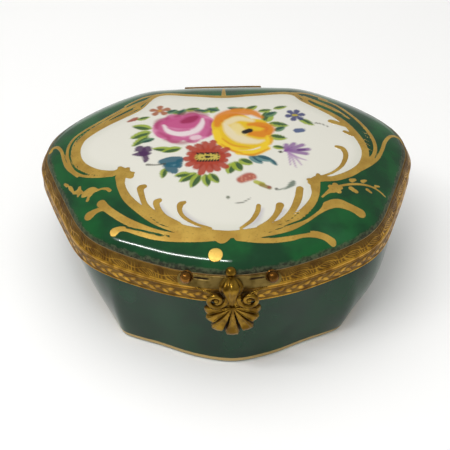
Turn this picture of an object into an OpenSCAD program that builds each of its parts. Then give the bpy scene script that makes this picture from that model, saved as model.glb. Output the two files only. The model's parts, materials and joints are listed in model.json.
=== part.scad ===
// Hinged porcelain trinket box with brass bezels, a five-knuckle hinge and a sprung palmette clasp.
// +Z is up, +X runs along the hinge and the clasp is at -Y. The origin is on the table, under the
// middle of the whole box.

/* [Box] */
// Overall size against the pattern that the outlines below are drawn for
plan_scale = 1; // [0.9:0.05:1.15]
// Height of the seam between the two bezels above the table
seam_z = 24; // [20:0.5:30]
// Rise of the lid's dome above the top edge of its bezel
dome_rise = 6.5; // [4:0.5:9]
// Wall of the porcelain
wall_t = 2.8; // [2:0.1:3.5]
// Floor of the bowl
floor_t = 3.2; // [2.5:0.1:5]

/* [Bezels] */
// Height of each brass bezel
bezel_h = 3.4; // [3:0.1:4]
// Thickness of the brass band
band_t = 1.0; // [0.8:0.1:1.2]
// Thickness of the flange that turns in over the porcelain's rim
flange_t = 0.7; // [0.5:0.1:0.9]
// Width of plaster between the brass and the porcelain
cement_t = 0.3; // [0.2:0.05:0.4]
// Gap between the closed bezels
seam_gap = 0.2; // [0.1:0.05:0.3]
// Height of the lip that guides the lid home
lip_h = 0.9; // [0.5:0.1:0.9]
// How far the upper bezel's face leans in over its height
lean = 1.5; // [1:0.1:1.8]

/* [Hinge] */
// Radius of the knuckles
knuckle_r = 1.3; // [1.1:0.1:1.6]
// Length of one of the five knuckles
knuckle_l = 3.2; // [2.5:0.1:5]
// Radius of the hinge pin
pin_r = 0.55; // [0.4:0.05:0.6]
// Running clearance round the pin in the lid's knuckles
pin_play = 0.03; // [0.02:0.01:0.06]
// Thickness of the hinge leaves
leaf_t = 0.4; // [0.3:0.05:0.45]

/* [Clasp] */
// Half the width of the shell
shell_r = 6.2; // [5:0.1:7]
// Thickness of the cast ornament
cast_t = 1.4; // [1:0.1:2]
// Radius of the ball-headed rivets
ball_r = 1.25; // [1:0.05:1.4]
// Distance of each rivet from the middle
rivet_x = 9.3; // [8:0.1:10.5]
// Radius of the stud that the hook snaps under
stud_r = 0.45; // [0.3:0.05:0.5]

/* [Hidden] */

// Right half of the bezels' outline seen from above, from the front to the back.
rim_half = [[0, -35.2], [11.5, -33.3], [21, -29.5], [28.2, -25.5], [32.2, -22.2], [35.2, -18],
            [37.9, -11.8], [42.4, 0], [44.5, 8.2], [42.2, 17.4], [33.9, 26.6], [22.2, 34.3], [13, 35.9],
            [0, 36.2]];
// Right half of the foot's outline, point for point below the rim's. It is a serpentine with sharp
// front corners, so the bowl's side runs from flutes at the table to a smooth rim.
foot_half = [[0, -33.9], [8.5, -32], [16, -28.5], [22.2, -25.9], [24.9, -24.3], [26.2, -21.4],
             [29.8, -13.6], [34, -2], [36, 6.5], [33, 14.5], [26.5, 21], [19, 28.5], [11, 29.6], [0, 30.2]];
// Points that the curve gains between two neighbours above
steps = 4;

brass = [0.62, 0.46, 0.18];
plaster = [0.85, 0.83, 0.78];
green = [0.05, 0.30, 0.17];

low_z = seam_z - bezel_h;             // lower edge of the lower bezel
lid_z = seam_z + seam_gap;            // lower edge of the upper bezel
top_z = lid_z + bezel_h - seam_gap;   // upper edge of the upper bezel
porcelain_in = band_t + cement_t;     // from the bezels' outline to the bowl's rim
lid_in = lean + cement_t / 2;         // from the bezels' outline to the lid's rim
back_y = 36.2 * plan_scale;           // back of the bezels
front_y = -35.2 * plan_scale;         // front of the bezels
hinge_y = back_y + knuckle_r + 0.15;  // the hinge's axis, clear of the bezels
hinge_z = seam_z + seam_gap / 2;
plate_y = front_y - 1.3;              // back of the clasp's ornament
lean_z = lid_z + 0.6;                 // height at which the upper bezel's face starts to lean
face_in = lean - 0.2;                 // how far in that face ends
slope = atan(face_in / (top_z - lean_z));
rim_z = seam_z - flange_t - 0.2;      // top of the bowl's porcelain, with plaster over it
lid_rim_z = lid_z + flange_t + 0.2;   // lower edge of the lid's porcelain, on its plaster
dome_mid = 2;                         // the dome's top, this far behind the origin

function mirrored(half) = concat(half, [for (i = [len(half) - 2 : -1 : 1]) [-half[i][0], half[i][1]]]);

// A point on the Catmull-Rom curve between b and c
function curve(a, b, c, d, t) =
    0.5 * (2 * b + (c - a) * t + (2 * a - 5 * b + 4 * c - d) * t * t + (3 * b - a - 3 * c + d) * t * t * t);

// The whole closed curve through a half outline
function outline(half) =
    let (p = mirrored(half) * plan_scale, n = len(p))
    [for (i = [0 : n - 1], s = [0 : steps - 1])
        curve(p[(i + n - 1) % n], p[i], p[(i + 1) % n], p[(i + 2) % n], s / steps)];

rim = outline(rim_half);
foot = outline(foot_half);
count = len(rim);

// The outline moved inwards by d, along its own normals
function inset(p, d) =
    [for (i = [0 : count - 1])
        let (t = p[(i + 1) % count] - p[(i + count - 1) % count])
        p[i] + d * [-t[1], t[0]] / norm(t)];

function blend(a, b, w) = [for (i = [0 : count - 1]) a[i] * (1 - w) + b[i] * w];

function at_height(p, z) = [for (q = p) [q[0], q[1], z]];

// A closed skin through a list of rings. The first and last rings are joined to each other when the
// skin is a hoop, and are capped flat when it isn't.
module skin(rings, hoop) {
    n = len(rings);
    m = len(rings[0]);
    last = hoop ? n - 1 : n - 2;
    sides = [for (k = [0 : last], i = [0 : m - 1])
        let (a = k * m, b = ((k + 1) % n) * m, j = (i + 1) % m)
        each [[a + i, b + j, a + j], [a + i, b + i, b + j]]];
    caps = hoop ? [] : [[for (i = [0 : m - 1]) i], [for (i = [m - 1 : -1 : 0]) (n - 1) * m + i]];
    polyhedron([for (r = rings) each r], concat(sides, caps), convexity = 6);
}

// A flat hoop of brass or plaster between two insets and two heights
module band(in_0, in_1, z_0, z_1) {
    translate([0, 0, z_0])
        linear_extrude(z_1 - z_0)
            difference() {
                polygon(inset(rim, in_0));
                polygon(inset(rim, in_1));
            }
}

// How far the bowl's side has spread from the foot to the rim at a height
function spread(z) = z >= low_z ? 1 : 1 - pow(1 - z / low_z, 1.6);

// The bowl's side at a height, moved inwards by d
function side(z, d) =
    at_height(inset(blend(foot, inset(rim, porcelain_in), spread(z)), d), z);

// The dome's height over its own edge, at a share s of the way from the middle to the edge
function dome(s, rise) = rise * pow(1 - pow(s, 3.4), 0.65);

// A ring of the lid, shrunk towards the dome's middle
function dome_ring(edge, s, z) = [for (q = edge) [q[0] * s, dome_mid + (q[1] - dome_mid) * s, z]];

module base_bowl() {
    outer = [side(0, 0.4), side(0.4, 0), for (z = [3 : 3 : low_z - 1]) side(z, 0),
             side(low_z, 0), side(rim_z, 0)];
    inner = [side(rim_z, wall_t), side(low_z, wall_t), for (z = [18 : -3 : 6]) side(z, wall_t),
             side(4, wall_t + 1), side(floor_t, wall_t + 3)];
    color(green) skin(concat(outer, inner), false);
}

module base_cement() {
    color(plaster) {
        band(band_t, porcelain_in, low_z + 0.2, seam_z - flange_t);
        band(porcelain_in, porcelain_in + wall_t, rim_z, seam_z - flange_t);
    }
}

module lower_bezel() {
    lip_in = porcelain_in + wall_t - 0.3;
    color(brass) {
        band(0, band_t, low_z, seam_z);
        band(band_t, lip_in + 0.6, seam_z - flange_t, seam_z);
        band(lip_in, lip_in + 0.6, seam_z, seam_z + lip_h);
    }
}

module lid_dome() {
    edge = inset(rim, lid_in);
    inner_edge = inset(rim, lid_in + wall_t);
    inner_rise = dome_rise + 0.1;
    shares = [0.985, 0.96, 0.92, 0.86, 0.78, 0.65, 0.48, 0.28];
    outer = [at_height(edge, lid_rim_z), at_height(edge, top_z),
             for (s = shares) dome_ring(edge, s, top_z + dome(s, dome_rise))];
    inner = [at_height(inner_edge, lid_rim_z),
             for (s = shares) dome_ring(inner_edge, s, lid_rim_z + dome(s, inner_rise))];
    color(green) skin(concat([for (i = [len(inner) - 1 : -1 : 0]) inner[i]], outer), false);
}

module lid_cement() {
    color(plaster) {
        band(lean, lid_in, lid_z + flange_t, top_z);
        band(lid_in, lid_in + 2, lid_z + flange_t, lid_rim_z);
    }
}

module upper_bezel() {
    section = [[0, lid_z], [0, lean_z], [face_in, top_z], [lean, top_z],
               [lean, lid_z + flange_t], [lid_in + 2, lid_z + flange_t], [lid_in + 2, lid_z]];
    color(brass) skin([for (q = section) at_height(inset(rim, q[0]), q[1])], true);
}

// A bent strip of a given section, [inset, height] by point, that follows the bezels' outline for
// a number of its points either side of the middle one
module strip(middle, reach, section) {
    color(brass)
        skin([for (i = [-reach : reach])
            [for (q = section)
                let (p = inset(rim, q[0])[(middle + i + count) % count])
                [p[0], p[1], q[1]]]], false);
}

// How far in the upper bezel's leaning face is at a height
function leaning(z) = face_in * (z - lean_z) / (top_z - lean_z);

module lower_hinge_leaf() {
    z_0 = low_z + 0.3;
    z_1 = hinge_z - 1.2;
    strip(count / 2, 3, [[0, z_0], [0, z_1], [-leaf_t, z_1], [-leaf_t, z_0]]);
}

// This leaf is a wedge, because the upper bezel leans away from the hinge
module upper_hinge_leaf() {
    z_0 = hinge_z + 1.2;
    strip(count / 2, 3, [[leaning(z_0), z_0], [leaning(top_z), top_z], [-leaf_t, top_z], [-leaf_t, z_0]]);
}

// One knuckle and the web that is brazed to its leaf: place counts from -2 on the left to 2 on the
// right, and side is 1 for the lid
module knuckle(place, side, bore_r) {
    length = knuckle_l - 0.12;
    web_z = side > 0 ? 0.7 : -2.3;
    web_y = leaf_t - knuckle_r - 0.15;
    web_in = 0.1;
    color(brass)
        translate([place * knuckle_l, hinge_y, hinge_z])
            difference() {
                union() {
                    rotate([0, 90, 0]) cylinder(r = knuckle_r, h = length, center = true, $fn = 64);
                    translate([-length / 2, web_y - web_in, web_z])
                        cube([length, 0.9 + web_in, 1.6]);
                }
                rotate([0, 90, 0]) cylinder(r = bore_r, h = length + 1, center = true, $fn = 64);
            }
}

module base_knuckle_left() knuckle(-2, -1, pin_r);
module base_knuckle_centre() knuckle(0, -1, pin_r);
module base_knuckle_right() knuckle(2, -1, pin_r);
module lid_knuckle_left() knuckle(-1, 1, pin_r + pin_play);
module lid_knuckle_right() knuckle(1, 1, pin_r + pin_play);

module hinge_pin() {
    color(brass)
        translate([0, hinge_y, hinge_z])
            rotate([0, 90, 0]) cylinder(r = pin_r, h = 5 * knuckle_l + 0.6, center = true, $fn = 64);
}

module catch_stud() {
    color(brass)
        translate([0, front_y, seam_z - 1.4])
            rotate([90, 0, 0]) cylinder(r = stud_r, h = 1, $fn = 48);
}

// A strip that lies on the leaning face of the upper bezel, between and past the two rivets
module clasp_spring()
    strip(0, steps, [[0, lean_z], [face_in, top_z], [face_in - 0.4, top_z + 0.3], [-0.4, lean_z + 0.2]]);

// A ball-headed rivet, square to the leaning face, with a flat where it sits on that face
module rivet(side) {
    color(brass)
        translate([side * rivet_x, front_y + 2.4, top_z - 0.7])
            rotate([90 - slope, 0, 0]) {
                difference() {
                    translate([0, 0, ball_r / 2]) sphere(r = ball_r, $fn = 64);
                    translate([-ball_r, -ball_r, -ball_r]) cube([2 * ball_r, 2 * ball_r, ball_r]);
                }
                translate([0, 0, -0.2]) cylinder(r = 0.45, h = 0.6, $fn = 48);
            }
}

module rivet_left() rivet(-1);
module rivet_right() rivet(1);

// The palmette: a shell of seven lobes that the thumb lifts, two scrolls, and a bud and ball that
// lean back with the upper bezel
module clasp_ornament() {
    heart_z = seam_z - 2.2;
    tip_r = 9.2;
    color(brass) {
        translate([0, plate_y, heart_z])
            rotate([90, 0, 0])
                linear_extrude(cast_t)
                    for (a = [-78 : 26 : 78])
                        let (r = shell_r + (tip_r - shell_r) * pow(cos(a), 3))
                        rotate(a) {
                            polygon([[-0.6, 0.6], [-1.5, 1.5 - r], [1.5, 1.5 - r], [0.6, 0.6]]);
                            translate([0, 1.5 - r]) circle(r = 1.5, $fn = 48);
                        }
        for (side = [-1, 1])
            translate([side * 3, plate_y, heart_z + 1.7])
                rotate([90, 0, 0])
                    rotate_extrude($fn = 48) translate([0.9, 0]) square([1.1, cast_t]);
        translate([0, plate_y, lean_z])
            rotate([-slope, 0, 0]) translate([0, 0, -1.8])
                difference() {
                    union() {
                        cylinder(r1 = 1, r2 = 2, h = 3.2, $fn = 48);
                        translate([0, 0, 3.2]) cylinder(r1 = 2, r2 = 0.8, h = 2.4, $fn = 48);
                        translate([0, 0, 6.2]) sphere(r = 1.3, $fn = 48);
                    }
                    translate([-3, 0, -1]) cube([6, 3, 10]);
                }
    }
}

// The tongue behind the shell whose step snaps under the stud
module clasp_hook() {
    color(brass)
        translate([-1.2, plate_y, seam_z - 3.2]) cube([2.4, 0.8, 1.1]);
}

base_bowl();
base_cement();
lower_bezel();
lower_hinge_leaf();
base_knuckle_left();
base_knuckle_centre();
base_knuckle_right();
hinge_pin();
catch_stud();
lid_dome();
lid_cement();
upper_bezel();
upper_hinge_leaf();
lid_knuckle_left();
lid_knuckle_right();
clasp_spring();
rivet_left();
rivet_right();
clasp_ornament();
clasp_hook();
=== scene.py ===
# %% [markdown]
# # A hinged porcelain trinket box
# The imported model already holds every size, joint and fit. This script dresses it: hand-painted
# porcelain, chased brass mounts and a cast palmette clasp. Everything is worked out in millimetres,
# because the box is a few centimetres across, and is scaled to metres as each mesh is made.

# %% Load the frame
import bpy
import json
import math
import numpy as np
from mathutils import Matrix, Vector


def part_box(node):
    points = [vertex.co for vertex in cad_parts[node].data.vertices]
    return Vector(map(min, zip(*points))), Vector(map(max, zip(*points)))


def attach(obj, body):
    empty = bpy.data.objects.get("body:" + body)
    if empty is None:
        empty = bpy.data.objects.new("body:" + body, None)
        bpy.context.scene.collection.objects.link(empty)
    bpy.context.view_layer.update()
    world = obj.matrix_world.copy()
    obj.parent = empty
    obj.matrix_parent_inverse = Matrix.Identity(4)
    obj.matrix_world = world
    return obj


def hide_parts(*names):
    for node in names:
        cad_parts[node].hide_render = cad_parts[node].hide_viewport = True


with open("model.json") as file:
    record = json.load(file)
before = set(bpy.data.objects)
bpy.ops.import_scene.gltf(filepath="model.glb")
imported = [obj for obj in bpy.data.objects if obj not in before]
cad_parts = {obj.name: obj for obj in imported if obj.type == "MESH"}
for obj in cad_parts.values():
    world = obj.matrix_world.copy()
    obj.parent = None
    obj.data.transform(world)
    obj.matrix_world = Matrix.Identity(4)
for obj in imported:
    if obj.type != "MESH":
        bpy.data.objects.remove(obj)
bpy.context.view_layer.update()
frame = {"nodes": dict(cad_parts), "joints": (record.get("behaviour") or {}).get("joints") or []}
MM = 0.001


# %% [markdown]
# ## Camera, floor and light
# A small thing is pictured from close by with a long lens, from a little over forty degrees up. The
# camera turns about a point in the middle of the box. A glaze shows whatever stands round it, so
# the surroundings are an even pale white. Two broad lamps give the light and aren't mirrored. A
# narrow one high over the front left is mirrored, and draws the bright line along the lid's front
# shoulder, with a wider and fainter one just behind it that softens the line's edges.

# %% Camera
CAMERA_AIM = np.array([-0.96, -6.5, 17.6])
CAMERA_RISE = math.radians(41.55)
CAMERA_TURN = math.radians(2.0)
CAMERA_DISTANCE = 260
LENS = 88.3
NEAREST_SEEN = 0.01

away = np.array([-math.sin(CAMERA_TURN) * math.cos(CAMERA_RISE),
                 -math.cos(CAMERA_TURN) * math.cos(CAMERA_RISE),
                 math.sin(CAMERA_RISE)])


def aimed(thing, place, target):
    """Put a camera or lamp at a place, in mm, with its -Z looking at the target."""
    thing.location = Vector(place) * MM
    thing.rotation_euler = (Vector(target) - Vector(place)).to_track_quat("-Z", "Y").to_euler()
    bpy.context.scene.collection.objects.link(thing)
    return thing


lens = bpy.data.cameras.new("camera")
lens.lens = LENS
lens.clip_start = NEAREST_SEEN
camera = aimed(bpy.data.objects.new("camera", lens), CAMERA_AIM + CAMERA_DISTANCE * away, CAMERA_AIM)
bpy.context.scene.camera = camera
bpy.context.scene.view_settings.view_transform = "Standard"
print("camera at", [round(v / MM) for v in camera.location], "mm")

# %% Surroundings
# The strength grows smoothly from the horizon's value to the zenith's. GLOW_STARTS is the height on a
# ball of radius 1 where it starts to grow.
GLOW_STARTS, AT_HORIZON, AT_ZENITH = 0.62, 0.42, 0.54
WARM_WHITE = (1.0, 0.99, 0.97, 1)
world = bpy.data.worlds.new("pale room")
world.use_nodes = True
nodes, links = world.node_tree.nodes, world.node_tree.links
direction = nodes.new("ShaderNodeTexCoord")
upward = nodes.new("ShaderNodeSeparateXYZ")
glow = nodes.new("ShaderNodeMapRange")
glow.interpolation_type = "SMOOTHSTEP"
for name, value in (("From Min", GLOW_STARTS), ("From Max", 1.0), ("To Min", AT_HORIZON),
                    ("To Max", AT_ZENITH)):
    glow.inputs[name].default_value = value
links.new(direction.outputs["Generated"], upward.inputs[0])
links.new(upward.outputs["Z"], glow.inputs["Value"])
links.new(glow.outputs["Result"], nodes["Background"].inputs["Strength"])
nodes["Background"].inputs["Color"].default_value = WARM_WHITE
bpy.context.scene.world = world
print("surroundings glow from", AT_HORIZON, "to", AT_ZENITH)

# %% Lamps
def lamp(name, place, target, size, watts, mirrored, roll=0.0):
    """A rectangular lamp: place, target and size in mm, and a roll about its own axis in degrees. A lamp
    that isn't mirrored gives light but can't be seen in the glaze."""
    light = bpy.data.lights.new(name, "AREA")
    light.shape = "RECTANGLE"
    light.size, light.size_y = size[0] * MM, size[1] * MM
    light.energy = watts
    made = aimed(bpy.data.objects.new(name, light), place, target)
    made.rotation_euler.rotate_axis("Z", math.radians(roll))
    made.visible_glossy = mirrored
    return made


BOX_HEART = (0, 0, 15)
SHOULDER, STRIP_ROLL = (-15, -28, 28), -54
lamp("key", (-60, 40, 460), BOX_HEART, (600, 600), 1.2, False)
lamp("fill", (260, -300, 300), BOX_HEART, (300, 300), 0.2, False)
lamp("strip", (-120, -104, 336), SHOULDER, (5, 240), 0.3, True, STRIP_ROLL)
lamp("strip glow", (-120, -104, 337), SHOULDER, (30, 270), 0.1, True, STRIP_ROLL)


# %% [markdown]
# ## One small language for materials
# A pattern is a sum worked out at every point of a surface. Writing that sum as Python keeps it
# readable, so a small class wraps one socket and turns + - * / into Math nodes, and one method adds
# any other node. Numbers that are the same everywhere are set straight on the shader.

# %% Sockets that do sums
class Value:
    """One output socket of a finish. Sums of Values add Math nodes to that finish."""

    def __init__(self, finish, socket):
        self.finish, self.socket = finish, socket

    def math(self, operation, first, second):
        return self.finish.node("Math", {"operation": operation}, {0: first, 1: second})

    def __add__(self, other):
        return self.math("ADD", self, other)

    def __radd__(self, other):
        return self.math("ADD", other, self)

    def __sub__(self, other):
        return self.math("SUBTRACT", self, other)

    def __rsub__(self, other):
        return self.math("SUBTRACT", other, self)

    def __mul__(self, other):
        return self.math("MULTIPLY", self, other)

    def __rmul__(self, other):
        return self.math("MULTIPLY", other, self)

    def __truediv__(self, other):
        return self.math("DIVIDE", self, other)

    def step(self, low, high):
        """0 below low, 1 above high and a smooth rise between."""
        return self.finish.node("MapRange", {"interpolation_type": "SMOOTHSTEP"},
                                {"Value": self, "From Min": low, "From Max": high})


class Finish:
    """A material round one Principled shader."""

    def __init__(self, name):
        self.material = bpy.data.materials.new(name)
        self.material.use_nodes = True
        self.tree = self.material.node_tree
        self.shader = self.tree.nodes["Principled BSDF"]
        self.place = self.node("TexCoord", {}, {}, "Object")

    def node(self, kind, settings, inputs, output=0):
        """Any node: its settings come first, then the values or links of its sockets."""
        made = self.tree.nodes.new("ShaderNode" + kind)
        for name, setting in settings.items():
            setattr(made, name, setting)
        for name, value in inputs.items():
            self.feed(made.inputs[name], value)
        return Value(self, made.outputs[output])

    def feed(self, socket, value):
        if isinstance(value, Value):
            self.tree.links.new(value.socket, socket)
        else:
            socket.default_value = value

    def mix(self, a, b, amount):
        """Colour a where amount is 0 and colour b where it is 1."""
        return self.node("Mix", {"data_type": "RGBA"}, {0: amount, 6: a, 7: b}, 2)

    def attribute(self, name, output="Fac"):
        return self.node("Attribute", {"attribute_name": name}, {}, output)

    def height(self):
        """Height above the table in mm."""
        return self.node("SeparateXYZ", {}, {0: self.place}, "Z") / MM

    def noise(self, size, detail=3.0):
        """Cloudy noise from 0 to 1 whose lumps are about size mm across."""
        return self.node("TexNoise", {}, {"Vector": self.place, "Scale": 1 / (size * MM), "Detail": detail})

    def relief(self, height, depth):
        """Feed the normal from a height of 0 to 1 that stands for depth mm."""
        bump = self.node("Bump", {}, {"Height": height, "Distance": depth * MM}, "Normal")
        self.feed(self.shader.inputs["Normal"], bump)

    def set(self, **values):
        """Set or link the shader's sockets. An underscore stands for a space."""
        for name, value in values.items():
            self.feed(self.shader.inputs[name.replace("_", " ")], value)


def paint(red, green, blue):
    """A colour as a painter's card gives it, 0 to 255, turned into the linear light that shaders use."""
    card = np.array([red, green, blue]) / 255
    # the usual display curve: straight below its toe and a power of 2.4 above it
    light = np.where(card < 0.04045, card / 12.92, ((card + 0.055) / 1.055) ** 2.4)
    return (*light.tolist(), 1.0)


print("a mid green card in linear light:", [round(v, 3) for v in paint(20, 90, 50)])

# %% Floor
bpy.ops.mesh.primitive_plane_add(size=6)
floor = bpy.context.object
floor.name = "floor"
pale = Finish("pale floor")
pale.set(Base_Color=pale.mix((0.96, 0.96, 0.955, 1), (0.98, 0.98, 0.975, 1), pale.noise(60)), Roughness=0.7)
floor.data.materials.append(pale.material)
print("floor is", floor.dimensions[0], "m across")


# %% [markdown]
# ## Outlines from the frame
# The box has one outline for its mounts and another, narrower one for its foot. Both are closed
# curves that every ray from the middle crosses once, so an outline can be kept as a radius for each
# angle. The CAD model's corners give that radius, a light blur rounds its facets, and the curve is
# then walked off in equal steps, so that engraving keeps its pitch all the way round.

# %% Reading an outline
MIDDLE = np.array([0.0, 2.0])
BLUR_TURN = math.radians(1.1)
FINE_TURNS = 8192
SAME_LEVEL = 0.02
RIM_POINTS = 720


def outline(node, height, count):
    """The outline of a CAD node's corners at one height, in mm: the radius against the angle, blurred
    by a Gaussian and resampled to count points in equal steps, from the front towards +X."""
    corners = np.empty(len(frame["nodes"][node].data.vertices) * 3)
    frame["nodes"][node].data.vertices.foreach_get("co", corners)
    corners = corners.reshape(-1, 3) / MM
    level = np.unique(corners[np.abs(corners[:, 2] - height) < SAME_LEVEL][:, :2].round(2), axis=0) - MIDDLE
    turns = np.arctan2(level[:, 0], -level[:, 1])
    order = np.argsort(turns)
    fine = np.linspace(0, 2 * np.pi, FINE_TURNS, endpoint=False)
    radius = np.interp(fine, turns[order], np.hypot(*level[order].T), period=2 * np.pi)
    waves = np.arange(len(fine) // 2 + 1)
    radius = np.fft.irfft(np.fft.rfft(radius) * np.exp(-0.5 * (waves * BLUR_TURN) ** 2))
    curve = MIDDLE + radius[:, None] * np.stack([np.sin(fine), -np.cos(fine)], 1)
    walked = np.append(0, np.cumsum(np.linalg.norm(np.diff(curve, axis=0, append=curve[:1]), axis=1)))
    closed = np.vstack([curve, curve[:1]])
    steps = np.linspace(0, walked[-1], count, endpoint=False)
    return np.stack([np.interp(steps, walked, closed[:, k]) for k in (0, 1)], 1)


def inset(loop, distance):
    """A closed outline moved inwards along its own normals."""
    along = np.roll(loop, -1, 0) - np.roll(loop, 1, 0)
    inwards = np.stack([-along[:, 1], along[:, 0]], 1) / np.linalg.norm(along, axis=1)[:, None]
    return loop + np.asarray(distance)[..., None] * inwards


def raised(loop, height):
    """An outline lifted to a height: points with three coordinates."""
    return np.column_stack([loop, np.broadcast_to(height, len(loop))])


# The lower bezel is a band BEZEL_TALL high up to the seam, and a lip stands above that inside it. The
# upper bezel starts upright and leans in above LEAN_STARTS.
BEZEL_TALL, LEAN_STARTS, FOOT_LEVEL = 3.4, 0.6, 0.4
low_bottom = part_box("lower_bezel")[0].z / MM
seam = low_bottom + BEZEL_TALL
upper_bottom, upper_top = (corner.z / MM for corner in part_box("upper_bezel"))
lean_bottom = upper_bottom + LEAN_STARTS
rim = outline("upper_bezel", lean_bottom, RIM_POINTS)
foot = outline("base_bowl", FOOT_LEVEL, RIM_POINTS)
girth = np.linalg.norm(np.diff(rim, axis=0, append=rim[:1]), axis=1).sum()
print(f"rim {np.ptp(rim[:, 0]):.1f} x {np.ptp(rim[:, 1]):.1f} mm, {girth:.0f} mm round;",
      f"foot {np.ptp(foot[:, 0]):.1f} x {np.ptp(foot[:, 1]):.1f} mm")


# %% [markdown]
# ## One way to make every skin
# A bowl, a hoop, a bead and a wire are all a stack of rings: the rows run along the piece and the
# columns run round it. Joining each ring to the next gives the side, and the ends either meet, as in
# a hoop, or close on one point each. A wrong turn would leave the faces pointing inwards, so the
# enclosed volume is worked out and its sign decides which way round the faces are written.

# %% Rings into a mesh
def skin_faces(rows, columns, hoop):
    """Four corners a face between neighbouring rings, and three a face round each end point."""
    row = np.arange(rows if hoop else rows - 1)[:, None] * columns
    column = np.arange(columns)[None, :]
    after_row = (row + columns) % (rows * columns)
    after = (column + 1) % columns
    quads = np.stack([row + column, after_row + column, after_row + after, row + after], -1).reshape(-1, 4)
    if hoop:
        return quads, np.empty((0, 3), int)
    ring = np.arange(columns)
    last = (rows - 1) * columns
    first_pole, last_pole = rows * columns, rows * columns + 1
    fans = np.vstack([np.stack([np.full(columns, first_pole), ring, (ring + 1) % columns], 1),
                      np.stack([np.full(columns, last_pole), last + (ring + 1) % columns, last + ring], 1)])
    return quads, fans


def volume(points, quads, fans):
    """The volume inside a closed skin, negative when its faces point inwards."""
    corners = np.vstack([quads[:, [0, 1, 2]], quads[:, [0, 2, 3]], fans])
    a, b, c = (points[corners[:, k]] for k in range(3))
    return np.einsum("ij,ij->i", a, np.cross(b, c)).sum() / 6


def piece(name, skins, finish, body, slot, replaces, **marks):
    """A named mesh of one or more skins. A skin is (rings, hoop) with rings as rows x columns x 3 in mm,
    and each mark is a float, or a colour, for every point of the first skin. The points that close its
    ends take the mean of the ring beside them."""
    points, faces, volumes, start = [], [], [], 0
    for rings, hoop in skins:
        rows, columns = rings.shape[:2]
        cloud = rings.reshape(-1, 3)
        if not hoop:
            cloud = np.vstack([cloud, rings[0].mean(0), rings[-1].mean(0)])
        quads, fans = skin_faces(rows, columns, hoop)
        volumes.append(volume(cloud, quads, fans))
        faces += [(f[:, ::-1] if volumes[-1] < 0 else f) + start for f in (quads, fans) if len(f)]
        points.append(cloud)
        start += len(cloud)
    mesh = bpy.data.meshes.new(name)
    mesh.from_pydata(np.vstack(points) * MM, [], [corner for f in faces for corner in f.tolist()])
    mesh.polygons.foreach_set("use_smooth", np.ones(len(mesh.polygons), bool))
    for mark, values in marks.items():
        values = np.asarray(values, float)
        full = np.zeros((start, *values.shape[1:]))
        full[:len(values)] = values
        if not skins[0][1]:
            columns = skins[0][0].shape[1]
            full[len(values)] = values[:columns].mean(0)
            full[len(values) + 1] = values[-columns:].mean(0)
        kind, field = ("FLOAT_COLOR", "color") if values.ndim > 1 else ("FLOAT", "value")
        mesh.attributes.new(mark, kind, "POINT").data.foreach_set(field, full.astype(np.float32).ravel())
    mesh.materials.append(finish.material)
    made = bpy.data.objects.new(name, mesh)
    bpy.context.scene.collection.objects.link(made)
    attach(made, body)
    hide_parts(*replaces)
    print(f"{name}: {len(mesh.polygons)} faces, {abs(volumes[0]):.0f} mm3 in its first skin")


# %% [markdown]
# ## Brushwork
# The lid was painted with a loaded brush, so its picture is built from brush marks. A mark is a
# smooth line through a few points, each with its own half width, and what counts for any place on
# the lid is how deep inside the mark it lies. Marks for gilding are joined into one depth, which the
# material cuts off sharply. Enamel colours are laid over one another, each with a soft edge, and the
# result is kept as a colour at every point of the lid's fine mesh.

# %% Brush marks
def through(points, closed=False, fineness=8):
    """The Catmull-Rom curve through points of any number of coordinates."""
    p = np.asarray(points, float)
    if closed:
        p = np.vstack([p[-1:], p, p[:2]])
    else:
        p = np.vstack([2 * p[:1] - p[1:2], p, 2 * p[-1:] - p[-2:-1]])
    a, b, c, d = p[:-3], p[1:-2], p[2:-1], p[3:]
    t = np.linspace(0, 1, fineness, endpoint=False)[:, None, None]
    curve = 0.5 * (2 * b + (c - a) * t + (2 * a - 5 * b + 4 * c - d) * t**2 + (3 * b - a - 3 * c + d) * t**3)
    curve = curve.swapaxes(0, 1).reshape(-1, p.shape[1])
    return curve if closed else np.vstack([curve, p[-2:-1]])


FAR = -9.0
SOFT_REACH = 1.0


def depth(at, line):
    """How deep in mm each place lies inside a mark: the greatest over its stretches of the half width
    less the distance. Places far from the mark get FAR."""
    a, b = line[:-1], line[1:]
    reach = line[:, 2].max() + SOFT_REACH
    near = np.all((at > line[:, :2].min(0) - reach) & (at < line[:, :2].max(0) + reach), axis=1)
    inside = np.full(len(at), FAR)
    place, run = at[near][:, None, :], (b - a)[None, :, :2]
    share = ((place - a[:, :2]) * run).sum(-1) / np.maximum((run**2).sum(-1), 1e-9)
    share = share.clip(0, 1)
    distance = np.linalg.norm(place - a[:, :2] - share[..., None] * run, axis=-1)
    if near.any():
        inside[near] = (a[:, 2] + share * (b - a)[:, 2] - distance).max(1)
    return inside


def field(at, loop):
    """The distance in mm from a closed curve, positive inside it: a ray to +X crosses it an odd number
    of times from there."""
    a, b = loop, np.roll(loop, -1, 0)
    x, y = at[:, :1], at[:, 1:]
    spans = (a[:, 1] > y) != (b[:, 1] > y)
    rise = np.where(b[:, 1] == a[:, 1], 1e-9, b[:, 1] - a[:, 1])
    odd = (spans & (x < a[:, 0] + (b[:, 0] - a[:, 0]) * (y - a[:, 1]) / rise)).sum(1) % 2 == 1
    share = (((at[:, None] - a) * (b - a)).sum(-1) / ((b - a)**2).sum(-1)).clip(0, 1)
    distance = np.linalg.norm(at[:, None] - a - share[..., None] * (b - a), axis=-1).min(1)
    return np.where(odd, distance, -distance)


# %% [markdown]
# ## The lid's surface
# Seen from above, every ring of the lid is the same outline drawn smaller. Its height follows a flat
# dome that falls steeply at its edge: the rise times (1 - s to one power) to another, where s goes
# from 0 in the middle to 1 at the edge. The rings lie close together in the middle, where the bouquet
# is painted, and the skin turns under the edge and back along the inside, so the lid is a real shell.

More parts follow.
